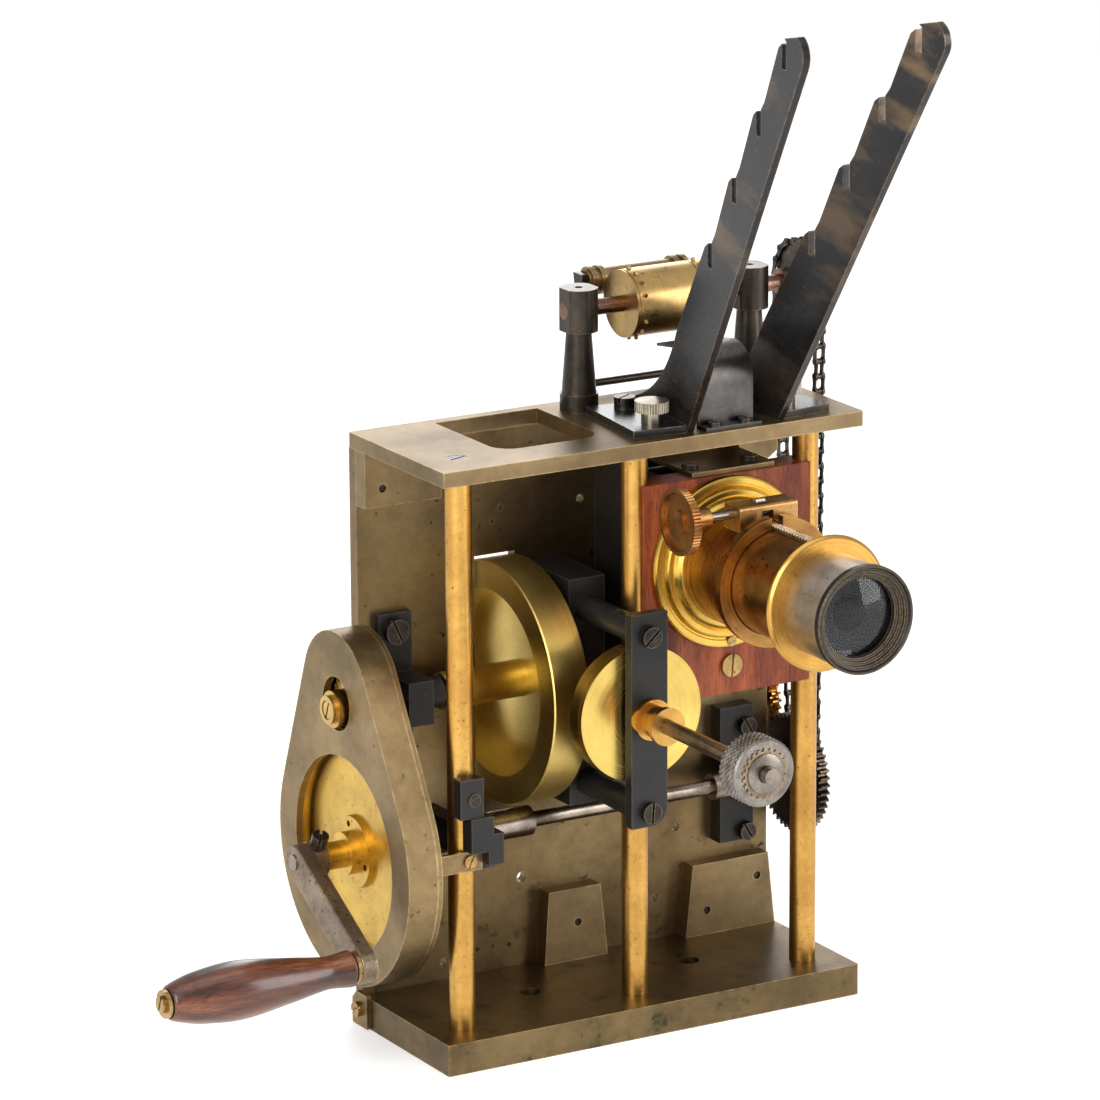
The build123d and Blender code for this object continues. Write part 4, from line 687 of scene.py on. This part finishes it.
glass = lens_glass()
lens_steps = 12
front_reach = 16.0
front_bulge = 3.0
front_outline = [(0.0, 0.02)]
for k in range(1, lens_steps + 1):
    share = k / lens_steps
    front_outline.append((front_bulge * share ** 2, front_reach * share))
front_outline += [(2 * front_bulge, front_reach), (2 * front_bulge, 0.02)]
front_start = (lens_middle.x, ring_low[1] + 3.2 * mm, lens_middle.z)
front_glass = turned_piece("front_lens", front_start, along_y, front_outline, 96, closed=False)
finish_piece(front_glass, glass, "lens_tube")
rear_steps = 10
rear_reach = 18.7
rear_edge = 1.2
rear_outline = [(0.0, rear_reach), (rear_edge, rear_reach)]
for k in range(1, rear_steps):
    share = 1 - k / rear_steps
    rear_outline.append((rear_edge + 2.6 * (1 - share ** 2), rear_reach * share))
rear_outline.append((3.8, 0.02))
rear_start = (lens_middle.x, tube_high[1] - 14 * mm, lens_middle.z)
rear_glass = turned_piece("rear_lens", rear_start, along_y, rear_outline, 96, closed=False)
finish_piece(rear_glass, glass, "lens_tube")
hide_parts("lens_glasses")
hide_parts("lens_glasses")

# Painted shade: a matt black tube with a small round stop sits inside the lens barrel, so the inside of the
# lens reads dark.
painted_shade_black = worn_metal(
    "painted_shade_black", (0.006, 0.006, 0.006), (0.012, 0.012, 0.012), rough=(0.55, 0.75), metallic=0.0, bump=0.05,
)
reflect(painted_shade_black, 0.1)
shade_tube_reach = 17.9
shade_tube_bore = 17.0
shade_tube_length = 30
shade_tube_start = (lens_middle.x, ring_low[1] + 12 * mm, lens_middle.z)
shade_tube_outline = [
    (0, shade_tube_reach), (0, 7.4), (0.6, 6.4), (1.0, 6.4), (1.6, shade_tube_bore), (shade_tube_length, shade_tube_bore),
    (shade_tube_length, shade_tube_reach),
]
shade_tube = turned_piece("lens_shade_tube", shade_tube_start, along_y, shade_tube_outline, 96)
finish_piece(shade_tube, painted_shade_black, "lens_tube")

# ---------------------------------------------------------------- focusing knob
# Coppery brass thumb wheel with a straight-milled rim and a dished face.
knob_brass = turned_metal(
    "knob_brass", (0.52, 0.27, 0.095), (0.30, 0.14, 0.05), along_x, centre("focus_knob"), rough=(0.24, 0.42),
    lines=0.0006, sheen=0.35, patch=0.010, spots=(0.08, 0.04, 0.02), spot_amount=0.62,
)
dress(knob_brass, "focus_knob")

# ---------------------------------------------------------------- film drum and pillars
# The feed drum is yellow brass browned by handling, on a red-brown shaft between two dark bronze
# pillars that were turned, flatted and drilled for oil.
drum_brass = turned_metal(
    "drum_brass", (0.56, 0.37, 0.14), (0.34, 0.215, 0.085), along_x, centre("drum_shaft"), rough=(0.22, 0.38),
    lines=0.0008, sheen=0.3, patch=0.02, spots=(0.12, 0.08, 0.04), spot_amount=0.64,
)
dress(drum_brass, "feed_drum")
pillar_bronze = worn_metal(
    "pillar_bronze", (0.060, 0.048, 0.036), (0.024, 0.020, 0.017), rough=(0.24, 0.42), patch=0.014,
    metallic=0.8, spots=(0.14, 0.09, 0.045), spot_size=0.002, spot_amount=0.66, bump=0.07,
    edge=(0.20, 0.13, 0.065),
)
dress(pillar_bronze, "drum_pillars", "roller_arm", "roller_hinge", edge=0.2)

# ---------------------------------------------------------------- film guide
# Thin grey sheet steel bent into a smooth shoe that leads the film off the drum.
guide_steel = worn_metal(
    "guide_steel", (0.14, 0.135, 0.13), (0.075, 0.070, 0.066), rough=(0.26, 0.40), patch=0.02,
    grain=(0.3, 1, 1), spots=(0.035, 0.028, 0.024), spot_size=0.003, spot_amount=0.66, bump=0.05,
)
dress(guide_steel, "film_guide")

# ---------------------------------------------------------------- spool arms
# Open arms sawn from sheet steel, blued almost black; the blue is rubbed to brown along the
# front edge and in streaks, and the spool's axle rests in one of the hooked notches.
def blued_sheet(name, streak_amount, shift):
    """Blued steel with long rubbed streaks that lean with the arm."""
    material = worn_metal(
        name, (0.013, 0.013, 0.016), (0.028, 0.025, 0.024), rough=(0.18, 0.36), patch=0.03, metallic=0.6,
        spots=(0.10, 0.070, 0.045), spot_size=0.003, spot_amount=0.68, bump=0.05, edge=(0.24, 0.165, 0.10),
        shift=shift,
    )
    tree = material.node_tree
    shader = tree.nodes["Principled BSDF"]
    old = shader.inputs["Base Color"].links[0].from_socket
    place = tree.nodes.new("ShaderNodeTexCoord").outputs["Object"]
    lean = tree.nodes.new("ShaderNodeMapping")
    lean.inputs["Rotation"].default_value = (radians(-12), 0, 0)
    tree.links.new(place, lean.inputs["Vector"])
    streaks = noise(tree, lean.outputs["Vector"], 0.016, 5, 0.55, stretch=(1, 0.30, 1.1), shift=shift)
    parts = tree.nodes.new("ShaderNodeSeparateXYZ")
    tree.links.new(place, parts.inputs[0])
    high = node(tree, "ShaderNodeMapRange", From_Min=0.26, From_Max=0.40, To_Min=0.25, To_Max=1.0)
    tree.links.new(parts.outputs["Z"], high.inputs["Value"])
    rubbed = ramp(tree, streaks, ((streak_amount, grey(0)), (streak_amount + 0.16, grey(0.85))))
    rubbed = blend_colour(tree, 1.0, rubbed, high.outputs["Result"], "MULTIPLY")
    tree.links.new(blend_colour(tree, rubbed, old, (0.20, 0.125, 0.062)), shader.inputs["Base Color"])
    return material


dress(blued_sheet("blued_steel_left", 0.54, (0.3, 0, 0)), "left_spool_arm", edge=0.25)
dress(blued_sheet("blued_steel_right", 0.47, (0, 0.7, 0)), "right_spool_arm", edge=0.25)
thumb_nickel = worn_metal(
    "thumb_nickel", (0.52, 0.47, 0.38), (0.32, 0.27, 0.20), rough=(0.22, 0.38), patch=0.006,
    spots=(0.10, 0.07, 0.04), spot_size=0.001, spot_amount=0.64, bump=0.06,
)
dress(thumb_nickel, "thumb_screws")

# ---------------------------------------------------------------- screws
# Cheese-head and countersunk steel screws gone black with oil, and round brass ones.
screw_steel = worn_metal(
    "screw_steel", (0.055, 0.048, 0.042), (0.026, 0.022, 0.020), rough=(0.26, 0.44), patch=0.004,
    metallic=0.9, spots=(0.12, 0.09, 0.06), spot_size=0.001, spot_amount=0.62, bump=0.08,
    edge=(0.24, 0.18, 0.12),
)
dress(screw_steel, "cheese_head_screws", "small_screws", "crank_clamp_screw", edge=0.15)
dress(screw_steel, "post_screws")
dress(handle_brass, "brass_screws", edge=0.15)

# ---------------------------------------------------------------- chain-side gears
# Dark steel change gear and the two chain wheels, black with oil and bright on the teeth.
gear_steel = worn_metal(
    "gear_steel", (0.075, 0.060, 0.048), (0.032, 0.026, 0.022), rough=(0.24, 0.42), patch=0.008, metallic=0.9,
    spots=(0.16, 0.11, 0.065), spot_size=0.0014, spot_amount=0.63, bump=0.08, edge=(0.26, 0.19, 0.12),
)
dress(gear_steel, "cross_gear", "lower_sprocket", "upper_sprocket")

# ---------------------------------------------------------------- chain
# Steel roller chain from the crank shaft up to the drum: pairs of waisted plates on pins.
chain_steel = worn_metal(
    "chain_steel", (0.085, 0.068, 0.054), (0.035, 0.028, 0.024), rough=(0.26, 0.46), patch=0.006,
    metallic=0.9, spots=(0.18, 0.12, 0.07), spot_size=0.001, spot_amount=0.62, bump=0.08,
)
chain_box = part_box("drive_chain")
chain_x = (chain_box[0][0] + chain_box[1][0]) / 2
low_centre = Vector((chain_x, centre("lower_sprocket").y, centre("lower_sprocket").z))
high_centre = Vector((chain_x, centre("upper_sprocket").y, centre("upper_sprocket").z))
pin_pitch = 5.85
plate_reach = 1.6
plate_head = 1.55
plate_waist = 0.95
inner_plate = (1.0, 1.55)
outer_plate = (1.6, 2.1)
pin_radius, pin_reach = 0.62, 2.35
roller_radius, roller_reach = 1.15, 0.98
low_radius = (low_centre.z - chain_box[0][2]) / mm - plate_reach
high_radius = (chain_box[1][2] - high_centre.z) / mm - plate_reach


def chain_path():
    """Closed line of the chain's pins in YZ: a function from length to point, and the whole length."""
    y0, z0, y1, z1 = (value / mm for value in (low_centre.y, low_centre.z, high_centre.y, high_centre.z))
    span = hypot(y1 - y0, z1 - z0)
    lean = atan2(z1 - z0, y1 - y0)
    spread = atan2((span ** 2 - (low_radius - high_radius) ** 2) ** 0.5, low_radius - high_radius)
    run = (span ** 2 - (low_radius - high_radius) ** 2) ** 0.5
    high_arc = high_radius * 2 * spread
    low_arc = low_radius * 2 * (pi - spread)
    total = 2 * run + high_arc + low_arc

    def at(length):
        length %= total
        right, left = lean - spread, lean + spread
        if length < run:
            share = length / run
            start = (y0 + low_radius * cos(right), z0 + low_radius * sin(right))
            end = (y1 + high_radius * cos(right), z1 + high_radius * sin(right))
            return (start[0] + (end[0] - start[0]) * share, start[1] + (end[1] - start[1]) * share)
        length -= run
        if length < high_arc:
            turn = right + length / high_radius
            return (y1 + high_radius * cos(turn), z1 + high_radius * sin(turn))
        length -= high_arc
        if length < run:
            share = length / run
            start = (y1 + high_radius * cos(left), z1 + high_radius * sin(left))
            end = (y0 + low_radius * cos(left), z0 + low_radius * sin(left))
            return (start[0] + (end[0] - start[0]) * share, start[1] + (end[1] - start[1]) * share)
        length -= run
        turn = left + length / low_radius
        return (y0 + low_radius * cos(turn), z0 + low_radius * sin(turn))

    return at, total


def link_plate(build, first, second, x_low, x_high, head, waist):
    """Waisted plate between two pins, as a closed solid."""
    a, b = Vector((0, *first)), Vector((0, *second))
    way = (b - a).normalized()
    up = Vector((0, -way.z, way.y))
    outline = []
    for k in range(9):
        turn = radians(50 + 260 * k / 8)
        outline.append(a + (way * cos(turn) + up * sin(turn)) * head)
    outline.append((a + b) / 2 - up * waist)
    for k in range(9):
        turn = radians(-130 + 260 * k / 8)
        outline.append(b + (way * cos(turn) + up * sin(turn)) * head)
    outline.append((a + b) / 2 + up * waist)
    near = [build.verts.new(Vector((x_low, p.y, p.z)) * mm) for p in outline]
    far = [build.verts.new(Vector((x_high, p.y, p.z)) * mm) for p in outline]
    build.faces.new(near)
    build.faces.new(list(reversed(far)))
    for k in range(len(outline)):
        after = (k + 1) % len(outline)
        build.faces.new((near[after], near[k], far[k], far[after]))


def round_bar(build, middle, x_low, x_high, radius, sides=16):
    """Pin or roller along X."""
    spots = [(middle[0] + radius * cos(2 * pi * k / sides), middle[1] + radius * sin(2 * pi * k / sides))
             for k in range(sides)]
    near = [build.verts.new(Vector((x_low, *p)) * mm) for p in spots]
    far = [build.verts.new(Vector((x_high, *p)) * mm) for p in spots]
    build.faces.new(near)
    build.faces.new(list(reversed(far)))
    for k in range(sides):
        after = (k + 1) % sides
        build.faces.new((near[after], near[k], far[k], far[after]))


def drive_chain():
    """The whole chain as one mesh of plates, rollers and pins."""
    at, total = chain_path()
    links = 2 * round(total / pin_pitch / 2)
    pins = [at(total * k / links) for k in range(links)]
    x = chain_x / mm
    build = bmesh.new()
    for k, pin in enumerate(pins):
        ahead = pins[(k + 1) % links]
        inner, outer = (inner_plate, outer_plate)[k % 2]
        for side in (-1, 1):
            low, high = sorted((x + side * inner, x + side * outer))
            link_plate(build, pin, ahead, low, high, plate_head, plate_waist)
        round_bar(build, pin, x - pin_reach, x + pin_reach, pin_radius)
        round_bar(build, pin, x - roller_reach, x + roller_reach, roller_radius)
    return made_piece("roller_chain", build, smooth_to=35)


chain = drive_chain()
finish_piece(chain, chain_steel, "frame")
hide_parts("drive_chain")


# ---------------------------------------------------------------- floor
# Plain pale card, flat under the object and far out behind it.
def pale_card():
    """White card with a soft, nearly even surface."""
    material, _, shader, _ = blank_metal("pale_card")
    shader.inputs["Base Color"].default_value = (0.84, 0.84, 0.835, 1)
    shader.inputs["Roughness"].default_value = 0.75
    shader.inputs["Emission Color"].default_value = (1, 1, 1, 1)
    shader.inputs["Emission Strength"].default_value = 0.36
    return material


floor_mesh = bpy.data.meshes.new("floor")
floor_build = bmesh.new()
floor_half = 40.0
for corner in ((-1, -1), (1, -1), (1, 1), (-1, 1)):
    floor_build.verts.new((corner[0] * floor_half, corner[1] * floor_half, 0))
floor_build.faces.new(floor_build.verts)
floor_build.to_mesh(floor_mesh)
floor_build.free()
floor_mesh.materials.append(pale_card())
floor = bpy.data.objects.new("floor", floor_mesh)
bpy.context.scene.collection.objects.link(floor)


# ---------------------------------------------------------------- lights and camera
# Softboxes at the left, at the right and overhead, one strip behind, and a pale room.
def softbox(name, place, target, width, height, power, tint=(1, 1, 1)):
    """Rectangular area light that faces a point."""
    data = bpy.data.lights.new(name, "AREA")
    data.shape = "RECTANGLE"
    data.size = width
    data.size_y = height
    data.energy = power
    data.color = tint
    lamp = bpy.data.objects.new(name, data)
    lamp.location = place
    lamp.rotation_euler = (Vector(target) - Vector(place)).to_track_quat("-Z", "Y").to_euler()
    bpy.context.scene.collection.objects.link(lamp)


middle = (0, 0, 0.16)
softbox("key_left", (-1.3, -0.9, 0.9), middle, 0.9, 1.3, 24)
softbox("fill_right", (1.2, -1.3, 0.6), middle, 0.7, 1.2, 16)
softbox("top", (0.0, -0.3, 1.7), middle, 1.4, 1.0, 5)
softbox("back_strip", (0.7, 1.3, 0.9), middle, 0.4, 1.2, 5)

world = bpy.data.worlds.new("room")
world.use_nodes = True
world.node_tree.nodes["Background"].inputs["Color"].default_value = (1.0, 1.0, 1.0, 1)
world.node_tree.nodes["Background"].inputs["Strength"].default_value = 0.68
bpy.context.scene.world = world
bpy.context.scene.view_settings.view_transform = "Standard"

view_azimuth = radians(30.139)
view_elevation = radians(15.296)
view_roll = radians(-0.278)
sensor_width = 36
lens_over_width = 5.630691
camera_data = bpy.data.cameras.new("camera")
camera_data.sensor_width = sensor_width
camera_data.lens = sensor_width * lens_over_width
camera_data.clip_end = 50
camera = bpy.data.objects.new("camera", camera_data)
forward = Vector((
    sin(view_azimuth) * cos(view_elevation), cos(view_azimuth) * cos(view_elevation), -sin(view_elevation),
))
right = forward.cross(Vector((0, 0, 1))).normalized()
above = right.cross(forward)
basis = Matrix((right, above, -forward)).transposed()
camera_place = (-1.14036, -1.92105, 0.79210)
camera.matrix_world = (
    Matrix.Translation(camera_place) @ basis.to_4x4() @ Matrix.Rotation(view_roll, 4, "Z")
)
bpy.context.scene.collection.objects.link(camera)
bpy.context.scene.camera = camera
